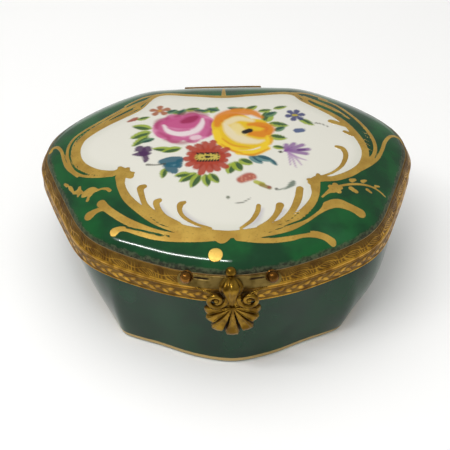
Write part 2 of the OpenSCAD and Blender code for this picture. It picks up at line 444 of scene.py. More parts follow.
# %% Lid rings
DOME_RISE = 6.5
DOME_FLAT, DOME_STEEP = 3.4, 0.65
LID_INSET = 1.65
WALL = 2.8
EDGE_ROUND = 0.3
LID_EDGE_BOTTOM = upper_bottom + 0.9
INSIDE_RISE = DOME_RISE + 0.1


def dome(s):
    """The dome's height as a share of its rise: (1 - s to the DOME_FLAT) to the DOME_STEEP."""
    return (1 - np.clip(s, 0, 1) ** DOME_FLAT) ** DOME_STEEP


def shrunk(loop, s):
    """An outline drawn in towards the middle to a share s of its size."""
    return MIDDLE + s * (loop - MIDDLE)


# Shares of the outline for the rings: even over the bouquet, even over the gilding, then closing up
# on the edge. The inside needs far fewer.
PAINTED_TO, GILDED_TO = 0.62, 0.93
fall = np.sin(np.linspace(0.995, 0, 18) * np.pi / 2) ** 0.8
outer_shares = np.concatenate([np.linspace(0.006, PAINTED_TO, 62),
                               np.linspace(PAINTED_TO, GILDED_TO, 36)[1:],
                               1 - 0.07 * fall[1:] ** 1.6])
inner_shares = np.concatenate([1 - np.array([0, 0.004, 0.015, 0.04, 0.09, 0.16]),
                               np.linspace(0.76, 0.03, 6)])
lid_edge, lid_inner_edge = inset(rim, LID_INSET), inset(rim, LID_INSET + WALL)
lid_rings = [raised(shrunk(lid_edge, s), upper_top + DOME_RISE * dome(s)) for s in outer_shares]
lid_rings += [raised(lid_edge, LID_EDGE_BOTTOM + EDGE_ROUND)]
lid_rings += [raised(inset(rim, LID_INSET + d), LID_EDGE_BOTTOM) for d in (EDGE_ROUND, WALL - EDGE_ROUND)]
lid_rings += [raised(shrunk(lid_inner_edge, s), LID_EDGE_BOTTOM + 0.05 + INSIDE_RISE * dome(s))
              for s in inner_shares]
lid_rings = np.array(lid_rings)
outside = len(outer_shares) * len(rim)
lid_at = lid_rings.reshape(-1, 3)[:outside, :2]
print("lid:", lid_rings.shape[0], "rings of", lid_rings.shape[1], "points")

# %% [markdown]
# ## The white reserve and its gilding
# A white field is left in the green ground, shaped like a cartouche with a knot at each side of its
# front. Raised gold runs all round it, throws ribs into the white and acanthus sprays out over the
# green, and ends in curls. Each mark below is a few points in mm, seen from above: x, y, half width.

# %% Reserve
reserve_edge = through([(-16.2, 26.4), (-8, 25.2), (-0.2, 23.9), (8, 24.9), (16.3, 25.8), (19.2, 22.2),
                        (25, 16.4), (27.8, 12.8), (29.6, 8.8), (31.1, 4.8), (31.5, 1.4), (30.3, -2.4),
                        (27.6, -5.5), (23.8, -8), (20.4, -9.2), (18.4, -10.6), (18.3, -14), (17, -16.8),
                        (14.6, -19.6), (11.4, -21.8), (7.4, -23.6), (2.5, -24.8), (-2, -25),
                        (-7.6, -23.8), (-12, -22.2), (-16.2, -19.8), (-19.6, -16.6), (-22.4, -12.9),
                        (-23.8, -9), (-23.8, -5.4), (-26.8, -4.2), (-29.4, -3.2), (-31.6, -1.6),
                        (-33.4, .5), (-34.5, 3.2), (-34.6, 6.2), (-33.6, 9), (-31, 11.6), (-27.8, 14.2),
                        (-25, 16.2), (-20.6, 19.8)], closed=True)
reserve = field(lid_at, reserve_edge)
print("the reserve takes", round(float((reserve > 0).mean()), 2), "of the lid's outer points")

# %% Gilding at the left
gilding = [
    # left side: the thick strand beside the white, the thin ones outside it and the curl
    [(-26, -4.7, .7), (-29.5, -3.9, .7), (-32.2, -2.2, .7), (-34.1, .2, .7), (-35.3, 3.2, .75),
     (-35.4, 6.4, .8), (-34.2, 9.6, .8), (-31.6, 12.3, .75), (-28.2, 14.9, .7), (-25.4, 17, .6),
     (-21, 20.8, .4)],
    [(-26.4, -5.5, .4), (-30, -5, .35), (-33.4, -3.6, .35), (-35.7, -1.2, .35), (-37, 1.9, .35),
     (-37.6, 5, .35), (-37.4, 8, .35), (-36.2, 10.8, .35), (-34, 13, .35), (-31, 15.6, .35),
     (-28, 18.4, .3), (-24.4, 22, .25)],
    [(-31, -4.4, .15), (-35.2, 0, .2), (-36.5, 5, .22), (-35.4, 10, .2), (-31, 14.2, .2),
     (-27.4, 17.2, .15)],
    [(-42, 8.8, .5), (-41.6, 9.8, .45), (-40.3, 9.2, .4), (-39.1, 6.8, .35), (-38.3, 3.4, .35),
     (-37.1, .2, .35), (-34.6, -3.2, .4)],
    # broad washes where both sides run to the back
    [(-33.6, 11.6, .4), (-30.4, 15, .7), (-26.7, 18.5, .75), (-22.7, 21.9, .7), (-19.4, 24.4, .4)],
    [(29.8, 15, .35), (26.6, 19, .65), (23.2, 22, .7), (19.8, 24.8, .55)],
    # left knot
    [(-26, -4.8, .8), (-24.6, -4.6, 1.1), (-23.2, -5.6, 1.2), (-22.3, -6.6, .8)],
    [(-24.8, -3.3, .55), (-24, -4.4, .9)], [(-23, -3.9, .5), (-23.4, -5, .9)],
    [(-21.8, -5.6, .45), (-23, -5.6, .9)],
    # left lower strand
    [(-24.9, -6.3, .9), (-24.5, -10, .65), (-23, -13.9, .7), (-20.1, -17.5, .8), (-16.7, -20.7, .9),
     (-12.4, -23.1, 1), (-8, -24.6, .9), (-2, -25.6, .9)],
    # left ribs
    [(-19.2, -10.5, .7), (-20, -10.9, .75), (-19.6, -13.4, .65), (-18.7, -16.3, .6), (-16.4, -19.2, .65),
     (-13, -21.6, .7)],
    [(-15.7, -15.2, .6), (-16.4, -15.7, .7), (-16, -17.6, .65), (-14.6, -19.9, .6), (-11.6, -22.4, .7)],
    [(-10.2, -16.3, .45), (-11.1, -16.9, .7), (-11.2, -18.8, .5), (-10.2, -20.7, .42), (-7.8, -22.6, .35),
     (-4.6, -24, .3)],
    # left acanthus, long and short
    [(-28.7, -13.7, 1), (-27, -16, .85), (-23.4, -19.5, .85), (-18.6, -22.5, .7), (-14.4, -24.3, .55),
     (-9, -25.6, .55), (-4, -26, .5)],
    [(-31.3, -16.1, 1.1), (-29.9, -15.5, .7), (-28.3, -15.4, .55), (-26.8, -16.3, .6)],
    [(-25.6, -21.9, .95), (-24.3, -21.5, .6), (-22.6, -22, .52), (-19.9, -23.4, .55), (-16.6, -24.9, .5),
     (-12.3, -26, .5), (-7, -26.6, .5), (-2.5, -26.6, .45)],
]
print(len(gilding), "gold marks at the left")

# %% Gilding at the front and the right
gilding += [
    # front lobe and the dot below it
    [(-3.3, -26.4, .8), (-2.3, -26.7, 1.1), (-1.3, -26.4, .8)],
    [(-4, -30.1, 1.35), (-3.6, -30.1, 1.35)],
    # right lower strand
    [(19.3, -10.3, 1), (19.1, -13.8, .7), (17.8, -17, .75), (15.4, -19.9, .75), (12.4, -22.3, .8),
     (8, -24.3, .9), (2.5, -25.5, .9), (-2, -25.8, .9)],
    # right ribs
    [(15.5, -12.6, .8), (14.8, -15.8, .85), (13.4, -19, .7), (11.2, -21.7, .55), (8.4, -23.5, .5)],
    [(10.7, -17.8, .9), (9.9, -20, .65), (8.2, -22.3, .55), (5.8, -24, .5)],
    [(6, -17.9, .5), (5.6, -19.8, .55), (4.2, -22.2, .45), (1.8, -24.2, .3)],
    # right acanthus, long and short
    [(3, -26.2, .6), (8.2, -25.3, .6), (12.6, -23.8, .65), (16, -21.5, .75), (19, -18.9, .85),
     (21.6, -17, 1.1), (23.8, -16.3, 1.25), (25.8, -16.8, 1.05), (27.4, -17.4, 1), (28.6, -18, 1.15)],
    [(1, -26.7, .6), (5, -27.1, .6), (8.6, -27, .6), (12.3, -26.3, .6), (15.2, -25.2, .65),
     (17.8, -24.8, .75), (20, -25.1, .75), (21.6, -25.8, .85)],
    # right knot
    [(18.2, -10.4, .8), (19.5, -9.3, 1), (21, -8.9, 1), (22.4, -8.9, .8)],
    [(20, -7.7, .45), (20.2, -9, .9)],
    [(17.6, -9.5, .4), (18.8, -9.7, .7)],
    # right side: thick strand, thin outer strand, cross hatching and the S curl
    [(22, -8.9, .8), (24.4, -8.4, .75), (28.1, -6.1, .75), (31, -2.6, .75), (32.2, 1.4, .75),
     (31.8, 5, .75), (30.4, 9, .7), (28.4, 13, .65), (25.4, 16.9, .55), (21.8, 20, .45), (19.6, 23, .4)],
    [(28.4, -5.4, .5), (31.8, -2.2, .45), (33.8, .8, .45), (34.8, 4.2, .45), (34.4, 8.2, .45),
     (32.8, 12.6, .42), (30.6, 17, .4), (27.4, 21.8, .4), (23.6, 24.6, .35)],
    [(42.9, 9.8, .45), (42, 11.5, .45), (39.7, 10.6, .4), (37.7, 7.4, .42), (36.4, 3.8, .42),
     (34.8, .4, .42), (32.2, -2.6, .5), (28.4, -6, .5)],
    # right hook on the white, and the two buds of the upper edge
    [(25.4, 2.7, .5), (26.8, 2, .65), (27.2, -.4, .6), (25.9, -3.9, .45), (23.5, -6.6, .32),
     (20.6, -8.4, .3)],
    [(25.2, 12.9, .8), (26.8, 12.2, .75), (28.6, 11.2, .5)], [(28, 8.8, .5), (29.6, 7.8, .6)],
    # back edge and the mark in its notch
    [(-22, 20.4, .5), (-16.2, 27.2, .45), (-8, 25.9, .35), (-.2, 24.6, .4), (8, 25.6, .35),
     (16.5, 26.7, .45), (20.2, 22.9, .5)],
    [(-.2, 24.6, .6), (-.1, 27.4, .45), (0, 30.5, .25)],
    [(17, 26.8, .5), (21, 27.2, .45), (25.4, 24.4, .35)],
    [(-16.5, 27.4, .4), (-20.5, 26.2, .4), (-24.5, 22.6, .3)],
]
HATCH_STEP, HATCH_HALF = 1.5, 0.12
gilding += [[(32.4 + .5 * k % 1, 12.6 - HATCH_STEP * k, HATCH_HALF),
             (33.6, 11.8 - HATCH_STEP * k, HATCH_HALF)] for k in range(7)]
print(len(gilding), "gold marks with the front, the right and the back")

# %% Sprays on the green, and lines wiped bare
gilding += [
    # flower sprays on the green: petals as dots, leaves as short marks
    [(20.3, -14.8, .25), (21.6, -13.4, .4), (23.2, -12, .9)],
    [(24.6, -10.9, .3), (27.6, -9.8, .35), (30.6, -9.3, .3), (33, -9.6, .25), (35.2, -10.8, .2)],
    [(27.2, -11.2, .6), (28.3, -12, .5)], [(27.6, -8.6, .6), (28.4, -8.2, .4)],
    [(30.2, -8.3, .5), (31, -7.8, .3)],
    [(31, -10.6, .4), (31.8, -11.2, .3)], [(33.2, -8.8, .35), (34, -8.6, .25)],
    [(-26.9, -10.3, .45), (-27.5, -9.6, .42), (-28.6, -9.2, .28), (-29.7, -9.3, .35), (-31.2, -9, 1.05),
     (-32.4, -9.5, .9), (-33.1, -9.9, .35)],
    [(-31.2, -9.8, .6), (-31.8, -11, .3), (-31.9, -11.6, .42)],
    [(-33, -9, .22), (-34.2, -8.1, .65), (-35.3, -7.9, .3)],
    [(-34, -8.2, .5), (-34, -6.9, .35)], [(-34, -8.2, .4), (-34.2, -9.3, .3)],
    [(-35.3, -7.9, .18), (-36.1, -6.2, .42), (-36.6, -5.3, .2)], [(-37, -4.9, .35), (-37.7, -4, .25)],
]
petal_turns = np.arange(5) * 2 * np.pi / 5 + 0.3
gilding += [[(23.6, -11.8, .7),
             (23.6 + 1.15 * math.cos(a), -11.8 + 1.15 * math.sin(a), .62)] for a in petal_turns]

bared = [
    # thin gaps wiped back between neighbouring strands
    [(-22.8, -21.5, .2), (-19.5, -22.8, .24), (-16.7, -23.9, .2), (-13.6, -24.9, .1)],
    [(19.9, -16, .65), (19.1, -17.9, .6), (16.9, -20.3, .42), (15.2, -21.6, .28), (12.9, -22.7, .2),
     (10.6, -23.9, .14), (7.6, -25.3, .06)],
    [(16.6, -24.3, .3), (13.8, -25.1, .25), (11, -25.9, .16), (7.6, -26.6, .08)],
    [(-35.6, 9.6, .12), (-32.6, 13.2, .16), (-29.2, 16.4, .16), (-25.4, 19.8, .12)],
    [(30.4, 13.4, .16), (27.4, 17.8, .14), (24, 21, .1)],
    [(-17.6, -19.8, .1), (-15.2, -22, .12), (-11.6, -23.9, .06)],
    [(15, -19.4, .1), (12.6, -21.7, .1), (9.4, -23.6, .06)],
]

# %% One depth for all the gold
# The reserve's own outline is gold too, EDGE_LINE mm to each side of it.
EDGE_LINE = 0.3
gilt = EDGE_LINE - np.abs(reserve)
for mark in gilding:
    gilt = np.maximum(gilt, depth(lid_at, through(mark)))
for mark in bared:
    gilt = np.minimum(gilt, -depth(lid_at, through(mark)))
print(len(gilding), "gold marks cover", round(float((gilt > 0).mean()), 3), "of the lid's outer points")

# %% [markdown]
# ## The bouquet
# The painter laid pale washes first and darker strokes over them. Leaves are two strokes: a light
# one and a darker one to one side. The daisy is a ring of petals round an eye, and each rose is a
# round wash with curved petals over it and a light curl in its heart.

# %% Laying colour
WHITE = np.array(paint(236, 234, 222)[:3])


class Enamel:
    """A colour for every place on the lid, laid down mark by mark."""

    def __init__(self, at):
        self.at = at
        self.colour = np.tile(WHITE, (len(at), 1))

    def lay(self, mark, colour, strength=1.0, edge=0.3):
        """One brush mark: x, y, half width by point. Its edge fades over edge mm."""
        line = through(mark, fineness=5) if len(mark) > 1 else np.array([mark[0], mark[0]], float)
        cover = strength * (depth(self.at, line) / edge + 0.5).clip(0, 1)[:, None]
        self.colour += cover * (np.array(paint(*colour)[:3]) - self.colour)

    def strokes(self, marks, colour, strength=1.0, edge=0.3):
        """Several brush marks in one colour, laid one after another."""
        for mark in marks:
            self.lay(mark, colour, strength, edge)

    def leaf(self, x, y, turn, length, width, light=(156, 176, 54), dark=(44, 84, 52)):
        """A pointed leaf from its stalk at x, y, towards turn degrees: a light wash, a dark side and a vein.
        The shape lists say how far along the leaf and how wide, both as shares of its size."""
        a = math.radians(turn)
        stalk = np.array([x, y])
        ahead, aside = np.array([math.cos(a), math.sin(a)]), np.array([-math.sin(a), math.cos(a)])
        spine = [(*(stalk + length * t * ahead), width * w)
                 for t, w in ((0, .25), (.3, .95), (.65, .8), (1, .1))]
        shade = [(*(stalk + length * t * ahead + 0.32 * width * aside), width * w)
                 for t, w in ((.08, .15), (.4, .5), (.7, .4), (.95, .05))]
        self.lay(spine, light, 0.95)
        self.lay(shade, dark, 0.9)
        self.lay([(x, y, .12), (*(stalk + 0.8 * length * ahead), .1)], dark, 0.6, 0.15)

    def blossom(self, x, y, petals, reach, width, colour, turn, stretch):
        """Petals in a ring: each starts at the middle and swells towards its round tip. stretch makes the
        ring taller than it is wide."""
        for k in range(petals):
            a = 2 * math.pi * k / petals + turn
            tip = (x + reach * math.cos(a), y + stretch * reach * math.sin(a))
            start = ((2 * x + tip[0]) / 3, (2 * y + tip[1]) / 3)
            self.lay([(*start, width * 0.5), (*tip, width)], colour, 0.92)


enamel = Enamel(lid_at)
print("ground laid for", len(lid_at), "places")

# %% Leaves under the flowers
# x and y of the stalk, the turn in degrees, the length and the half width: light leaves, then
# blue-green ones behind the flowers and the three blue ones below the yellow rose.
for leaf in [(-12.6, 16.6, 10, 3.2, 1.0), (-9.6, 17.6, 15, 3.4, .95), (-5.6, 16.6, 30, 3, .9),
             (-3.6, 16.4, 55, 3, .9), (1.4, 17, 20, 3.6, 1.0), (5, 17.2, 35, 3.4, 1.0),
             (8, 16.6, 10, 3.2, .8), (-18, 10.6, 160, 4.6, 1.25), (-18.2, 9.2, 205, 5, 1.3),
             (-18.6, 7.6, 225, 5.2, 1.1), (-12.6, 1.8, 170, 5, 1.0), (-11, 2.4, 195, 4.4, 1.1),
             (-14.6, -5, 260, 3.2, .9), (-7.6, -7, 215, 4.6, 1.2), (-6.8, -7.4, 245, 4.8, 1.2),
             (-5.4, -7.6, 275, 4, 1.1), (-4.4, -7.4, 300, 3.6, 1.1), (-9, -7, 190, 3.4, 1.0),
             (1, -3.8, 250, 3.8, 1.3), (1.4, -3.4, 290, 3.4, 1.3), (2.6, -2.6, 330, 3.2, 1.2),
             (9.6, 12.4, 80, 4, 1.6), (10.4, 11.4, 345, 4.4, 1.2), (10, 6.2, 345, 4, 1.2),
             (10.6, 2.2, 345, 2.6, .8), (11.8, 17.8, 20, 3.4, .8), (17.6, 13.4, 320, 4.2, 1.0)]:
    enamel.leaf(*leaf)
for leaf in [(-14.2, 17, 20, 2.8, .9), (-11.4, 15.4, 60, 3.4, 1), (-7.6, 17.6, 350, 3.2, .8),
             (-1.6, 17.4, 160, 3, .9), (3.4, 17.8, 165, 3, .8), (9.6, 14.6, 30, 3.2, 1),
             (11.4, 8.4, 30, 2.8, .9), (-17.2, 6.4, 200, 3.4, .8)]:
    enamel.leaf(*leaf, light=(96, 138, 96), dark=(30, 76, 66))
for leaf in [(5, -1, 310, 4, 1.15), (6.4, -1.4, 335, 4.2, 1.1), (9.6, -2.6, 300, 2.6, .6)]:
    enamel.leaf(*leaf, light=(96, 140, 140), dark=(36, 84, 98))
print("leaves laid")

# %% Pink rose
# A pale wash, eight round petals about it, darker folds between them, and a pale curl in the heart.
PINK, MAGENTA = (200, 92, 142), (160, 30, 84)
enamel.lay([(-12.6, 10.4, 5), (-7.6, 10.6, 5.4)], (222, 140, 178))
for turn in np.radians([20, 70, 120, 165, 205, 245, 290, 335]):
    out, along = np.array([math.cos(turn), math.sin(turn)]), np.array([-math.sin(turn), math.cos(turn)])
    at = np.array([-10 + 5 * out[0], 10.4 + 4.2 * out[1]])
    petal = [(*(at + 1.7 * along), .5), (*(at + .9 * out), 1.5), (*(at - 1.7 * along), .5)]
    enamel.lay(petal, PINK, 0.85, 0.5)
enamel.strokes([[(-16.6, 10.4, .4), (-16.2, 13.4, .9), (-14, 14.4, .6)],
                [(-12, 15.2, .5), (-8, 16.6, .9), (-4.6, 15.4, .5)],
                [(-14.6, 5.8, .3), (-11, 4.4, .7), (-8.4, 5, .4)],
                [(-4.4, 6.8, .3), (-3.4, 9.6, .5), (-3.6, 12.6, .3)],
                [(-15.8, 8.6, .3), (-13.6, 6.4, .5)]], MAGENTA, 0.6, 0.9)
enamel.lay([(-13.8, 12.4, 1.6), (-9.4, 12.4, 2.6), (-7, 13.6, 1.8)], (198, 78, 134), 0.9, 0.8)
enamel.lay([(-10.2, 12.8, .8), (-8.6, 13.6, 1.3), (-7.2, 14.6, .8)], MAGENTA, 0.95, 0.7)
enamel.lay([(-14.9, 11.6, .35), (-13.6, 9, .8), (-10.6, 7.9, .95), (-7.4, 9, .9), (-5.9, 11.6, .7),
            (-5.6, 13.8, .3)], (240, 226, 226), 0.95, 0.5)
enamel.lay([(-14, 10.6, .2), (-11.8, 9.2, .45), (-9, 9.4, .4)], PINK, 0.7, 0.4)
enamel.lay([(-7.9, 6.2, .9), (-6.9, 6.4, .9)], (238, 208, 216), 0.9, 0.5)
print("pink rose laid")

# %% Yellow rose
# A yellow wash, orange petals behind and at the heart, lighter rims in front, fine orange folds, and
# a cream curl round a dark eye.
YELLOW, ORANGE, CREAM = (234, 194, 30), (224, 134, 20), (238, 224, 186)
enamel.lay([(1.6, 10.6, 5.2), (3.6, 6.6, 5.6), (6.2, 8.8, 4.6)], YELLOW)
enamel.strokes([[(-2.2, 11, .8), (-1.4, 14.4, 1.3), (2.2, 16.6, 1.4), (6.2, 16.2, 1.2), (8.4, 14, .6)],
                [(5.6, 7.4, .9), (8.6, 7.2, 1.4), (10.2, 9.4, 1.2), (8, 11, 1), (5.4, 11, .6)]], ORANGE,
                0.95, 0.8)
enamel.strokes([[(-2.6, 8.4, .9), (-1.6, 4, 1), (1.6, 1.4, 1)], [(2.4, .2, .9), (6, 0, 1.1), (9, 1.6, .9)],
                [(8.2, 2.2, .8), (9.8, 4.4, .9), (9.6, 6.2, .5)]], (244, 206, 40), 1, 0.5)
enamel.strokes([[(-1.4, 3.4, .15), (1, .9, .3), (3, .1, .15)],
                [(3, -.4, .15), (6, -.7, .35), (9.4, 1.4, .15)],
                [(-1.2, 5.6, .1), (1.2, 3, .25), (5, 2, .1)],
                [(9.9, 3, .1), (10.3, 5, .25), (9.6, 6.8, .1)],
                [(-1, 12.6, .3), (1.6, 15, .4), (5.4, 15.2, .2)],
                [(7, 10.4, .15), (9.4, 9.6, .35), (9.2, 8, .15)]], (214, 112, 14), 0.75, 0.6)
enamel.lay([(-.4, 11.4, .5), (.8, 8.2, 1.3), (3.2, 5.4, 1.5), (6.6, 4.2, .9), (8.4, 4.6, .3)],
           CREAM, 0.95, 0.8)
enamel.lay([(.6, 12.2, 1.1), (3, 13.6, 1), (6.2, 12.6, .6)], CREAM, 0.85, 0.8)
enamel.lay([(2.2, 10.4, 1.3), (3.4, 8, 1.4)], (240, 220, 150), 0.9, 0.8)
enamel.lay([(4.2, 8, .75), (5.4, 8.6, .8)], (24, 14, 8), 1, 0.35)
print("yellow rose laid")

# %% Red daisy
# Sixteen petals of uneven length round an oblong eye, darker lines between some of them, and short
# dark stamens above and below the eye.
RED, DARK_RED, STAMEN = (178, 64, 40), (140, 40, 28), (26, 20, 12)
EYE_X, EYE_Y = -4.8, -1.2
for k in range(16):
    a = 2 * math.pi * k / 16 + 0.1
    reach = 4.7 + 0.6 * math.sin(2.4 * k)
    tip = (EYE_X + reach * math.cos(a), EYE_Y + 1.12 * reach * math.sin(a))
    enamel.lay([(EYE_X, EYE_Y, 1.2), (*tip, .85)], RED, 0.95)
enamel.lay([(-6.4, EYE_Y, 2.6), (-3.2, EYE_Y, 2.6)], RED)
for k in range(8):
    a = 2 * math.pi * k / 8 + 0.3
    enamel.lay([(EYE_X + 2.6 * math.cos(a), EYE_Y + 2.9 * math.sin(a), .3),
                (EYE_X + 4.9 * math.cos(a), EYE_Y + 5.2 * math.sin(a), .2)], DARK_RED, 0.45, 0.5)
enamel.lay([(-6.4, EYE_Y, 1.3), (-3.2, EYE_Y, 1.3)], (206, 186, 84))
for way in (-1, 1):
    for x in -7.1 + 0.66 * np.arange(8):
        enamel.lay([(x, EYE_Y + way * 1.5, .26), (x + .2, EYE_Y + way * 1, .16)], STAMEN, 1, 0.2)
for x, y in ((-7.3, -1.6), (-7.3, -.8), (-2.3, -1.6), (-2.3, -.8), (-6, -1.3), (-5.2, -.9), (-3.6, -1.1)):
    enamel.lay([(x, y, .22)], STAMEN, 0.9, 0.2)
enamel.lay([(-4.9, EYE_Y, .45), (-4.4, EYE_Y, .35)], STAMEN, 1, 0.25)
print("daisy laid")

# %% Small flowers at the left
BROWN, BLUE, TEAL = (168, 92, 48), (46, 52, 112), (24, 92, 112)
PLUM, IRIS, INK = (76, 40, 86), (136, 88, 152), (66, 68, 50)
enamel.blossom(-15.9, 18.2, 5, 1.9, .8, BROWN, 0.3, 0.9)
enamel.lay([(-15.9, 18.2, .5)], (210, 150, 60))
enamel.lay([(-23.4, 14.4, .4), (-22, 15.2, .75), (-21.4, 15.8, .3)], (160, 74, 50))
enamel.leaf(-21.2, 14.8, 15, 3, .8)
enamel.strokes([[(-21.3, 2.2, .3), (-20.4, 3, 1), (-19.6, 1.2, .9)],
                [(-18, 2, .4), (-18.6, 2.8, .9), (-19.4, 1, .9)],
                [(-21.8, .9, .3), (-20, .9, .9), (-18.2, .9, .5)],
                [(-19.4, 1, .8), (-18.9, -1, .7), (-19.1, -1.9, .4)]], PLUM, 0.93)
enamel.lay([(-13.6, -3.6, .9), (-12, -3.6, 1)], (70, 128, 146), 0.95)
enamel.strokes([[(-15.2, -2.4, .9), (-13.2, -2.2, 1.5), (-11.4, -1.8, 1.1)],
                [(-14.4, -3.8, .7), (-12.8, -5.4, 1.2), (-12.2, -6.4, .5)],
                [(-11.2, -2.4, .8), (-11.4, -4.2, .8)]], TEAL, 0.93)
enamel.lay([(-18.6, -3.1, .35), (-16.6, -3.4, .22), (-14.6, -3.2, .3)], INK, 0.8)
print("small flowers laid at the left")

# %% Small flowers at the right
enamel.blossom(16.7, 15, 6, 1.75, .78, BLUE, 0.2, 1.1)
enamel.lay([(16.4, 15, .5), (17, 15, .4)], (190, 170, 60))
enamel.lay([(16.6, 8.4, .9), (17.8, 8.6, .8)], (44, 74, 128), 0.9)
enamel.lay([(21.4, 11.8, .3), (22.8, 11.4, .18), (24.2, 10.4, .15)], INK, 0.7, 0.2)
for tip in [(17.4, 2.8), (18.6, 1.2), (18, -.4), (15.4, 3.2), (13.6, 2.8)]:
    halfway = ((13.2 + tip[0]) / 2, (0.6 + tip[1]) / 2, .55)
    enamel.lay([(13.2, .6, .3), halfway, (*tip, .6)], IRIS, 0.85, 0.4)
for tip in [(14, -4.6), (15.2, -5.4), (16.6, -4.6), (17.8, -2.8)]:
    enamel.lay([(13.8, .2, .2), ((14 + tip[0]) / 2, -1.8, .28), (*tip, .15)], (172, 132, 180), 0.75, 0.3)
enamel.lay([(16.4, .9, .45), (17.8, 1, .4)], (98, 48, 120), 0.8, 0.4)
enamel.lay([(12.1, .2, .45)], INK, 1, 0.25)
print("small flowers laid at the right")

# %% Berry, stray stalks and shadows
# A speckled berry on its stalk, a few stray strokes, and a violet shadow beside each gold rib.
enamel.lay([(2.6, -9.6, 1.1), (4.4, -8.6, 1.4), (5.2, -8.8, .9)], (178, 78, 52), 0.92, 0.6)
for k in range(9):
    enamel.lay([(2.7 + .9 * (k % 4), -9.8 + .7 * (k // 3), .2)], (226, 160, 130), 0.8, 0.25)
enamel.lay([(5.8, -10.4, .6), (7.2, -11.2, .7)], (182, 184, 70), 0.95)
enamel.lay([(7, -11.4, .6), (8.7, -12.4, .55)], (150, 130, 60), 0.9)
enamel.lay([(8.7, -12.2, .5)], (150, 70, 60), 0.8)
enamel.lay([(10.3, -12.8, .42)], INK, 0.8, 0.25)
enamel.lay([(10.8, -13, .12), (12.6, -12.4, .3), (13.8, -11.2, .7), (14.2, -10.4, .5)],
           (90, 110, 92), 0.85, 0.3)
enamel.lay([(-.6, -15.3, .45)], (96, 106, 80), 0.85, 0.3)
enamel.lay([(.8, -17, .1), (2.4, -17, .16), (4.4, -15.6, .1)], (84, 86, 70), 0.8, 0.2)
enamel.strokes([[(-19.8, -15.5, .4), (-18.1, -17.9, .6), (-15, -20.7, .4)],
                [(-15.6, -17.1, .4), (-13.6, -20.5, .6), (-11.2, -22.5, .4)],
                [(-10.8, -18.7, .3), (-8.9, -21.3, .5), (-6.2, -23.2, .4)],
                [(6.7, -19, .3), (5.4, -22.2, .6), (2.8, -24.3, .4)],
                [(11.4, -19.3, .4), (9.6, -22.2, .6), (7.3, -23.6, .4)],
                [(15.7, -17.6, .4), (13.5, -20.9, .6), (10.6, -23.1, .4)]], (172, 166, 184), 0.6, 1.2)
print("bouquet laid; darkest point", enamel.colour.min().round(3))

# %% [markdown]
# ## The lid's glaze
# One material finishes the whole lid. It reads four marks from the mesh: reserve and gilt are the
# distances in mm into the white and into the gold, edge is the distance from the lid's edge, and
# enamel holds the bouquet's colours. Cutting a smooth distance at zero gives a crisper line than gold
# painted into the colours would, and the same cut makes the gold metal and raises it a little.

# %% Lid glaze
# Enamel under glaze looks a little darker than on the card, by GLAZE_DIMS. The green darkens in
# clouds. Along the lid's edge the ground is made darker, browner and rougher, and this band reaches
# further in at the back by the mm set below. Gold is laid thick and is worn brown in fine patches.
GLAZE_DIMS = 0.78
EDGE_DARK_BEHIND = 1.3
BRUSH_EDGE = 0.06
GLOSS, GILT_ROUGH, GILT_METAL, IOR = 0.05, 0.3, 0.72, 1.5
LID_SPECULAR, BOWL_SPECULAR = 0.42, 0.34
green_card, deep_card = paint(4, 80, 32), paint(0, 54, 24)
glaze = Finish("painted glaze")
inside_white = glaze.attribute("reserve").step(-BRUSH_EDGE, BRUSH_EDGE)
gold = (glaze.attribute("gilt") + (glaze.noise(0.5) - 0.5) * 0.12).step(-BRUSH_EDGE, BRUSH_EDGE)
ground = glaze.mix(green_card, deep_card, glaze.noise(9).step(0.35, 0.65))
ground = glaze.mix(ground, paint(36, 96, 58), glaze.noise(14, 5).step(0.55, 0.8) * 0.6)
# the ground is made darker, browner and rougher along the lid's edge, further in at the back
edge_darkening = 1 - (glaze.attribute("edge") - glaze.noise(1.6, 5) * 1.1).step(-0.35, 0.35)
edge_brown = glaze.mix(paint(74, 78, 54), paint(34, 26, 10), glaze.noise(0.7, 4).step(0.42, 0.6))
ground = glaze.mix(ground, edge_brown, edge_darkening * 0.8)
gilt_tone = glaze.mix(paint(214, 176, 84), paint(194, 154, 70), glaze.noise(4).step(0.35, 0.65))
gilt_tone = glaze.mix(gilt_tone, paint(150, 112, 50), glaze.noise(0.45, 4).step(0.55, 0.75) * 0.5)
# painted shade: the white reserve greys towards its gold border
shade_near_gilt = 1 - glaze.attribute("reserve").step(0.2, 3.2)
white_laid = glaze.mix(glaze.attribute("enamel", "Color"), paint(196, 196, 182), shade_near_gilt * 0.55)
painted = glaze.mix(ground, white_laid, inside_white)
glaze.set(Base_Color=glaze.mix(painted, gilt_tone, gold), Metallic=gold * GILT_METAL,
          Specular_IOR_Level=LID_SPECULAR,
          Roughness=GLOSS + gold * GILT_ROUGH + edge_darkening * 0.5 + glaze.noise(3) * 0.03, IOR=IOR)
glaze.relief(gold + glaze.noise(6, 1) * 0.25, 0.09)
print("glaze has", len(glaze.tree.nodes), "nodes")


# %% Lid porcelain
def over_lid(values, elsewhere):
    """A mark for every point of the lid's skin: values on its outer face and one value elsewhere."""
    every = np.full((lid_rings.shape[0] * lid_rings.shape[1], *np.shape(values)[1:]), elsewhere)
    every[:outside] = values
    return every


from_edge = ((1 - outer_shares)[:, None] * np.linalg.norm(lid_edge - MIDDLE, axis=1)).ravel()
from_edge = over_lid(from_edge - EDGE_DARK_BEHIND * (lid_at[:, 1] / 18).clip(0, 1), 5.0)
from_edge[outside:outside + 2 * len(rim)] = 0
laid = over_lid(enamel.colour, WHITE) * GLAZE_DIMS
piece("lid_porcelain", [(lid_rings, False)], glaze, "lid", "lid_porcelain", ["lid_dome"],
      reserve=over_lid(reserve, 3.0), gilt=over_lid(gilt, -3.0), edge=from_edge,
      enamel=np.column_stack([laid, np.ones(len(laid))]))


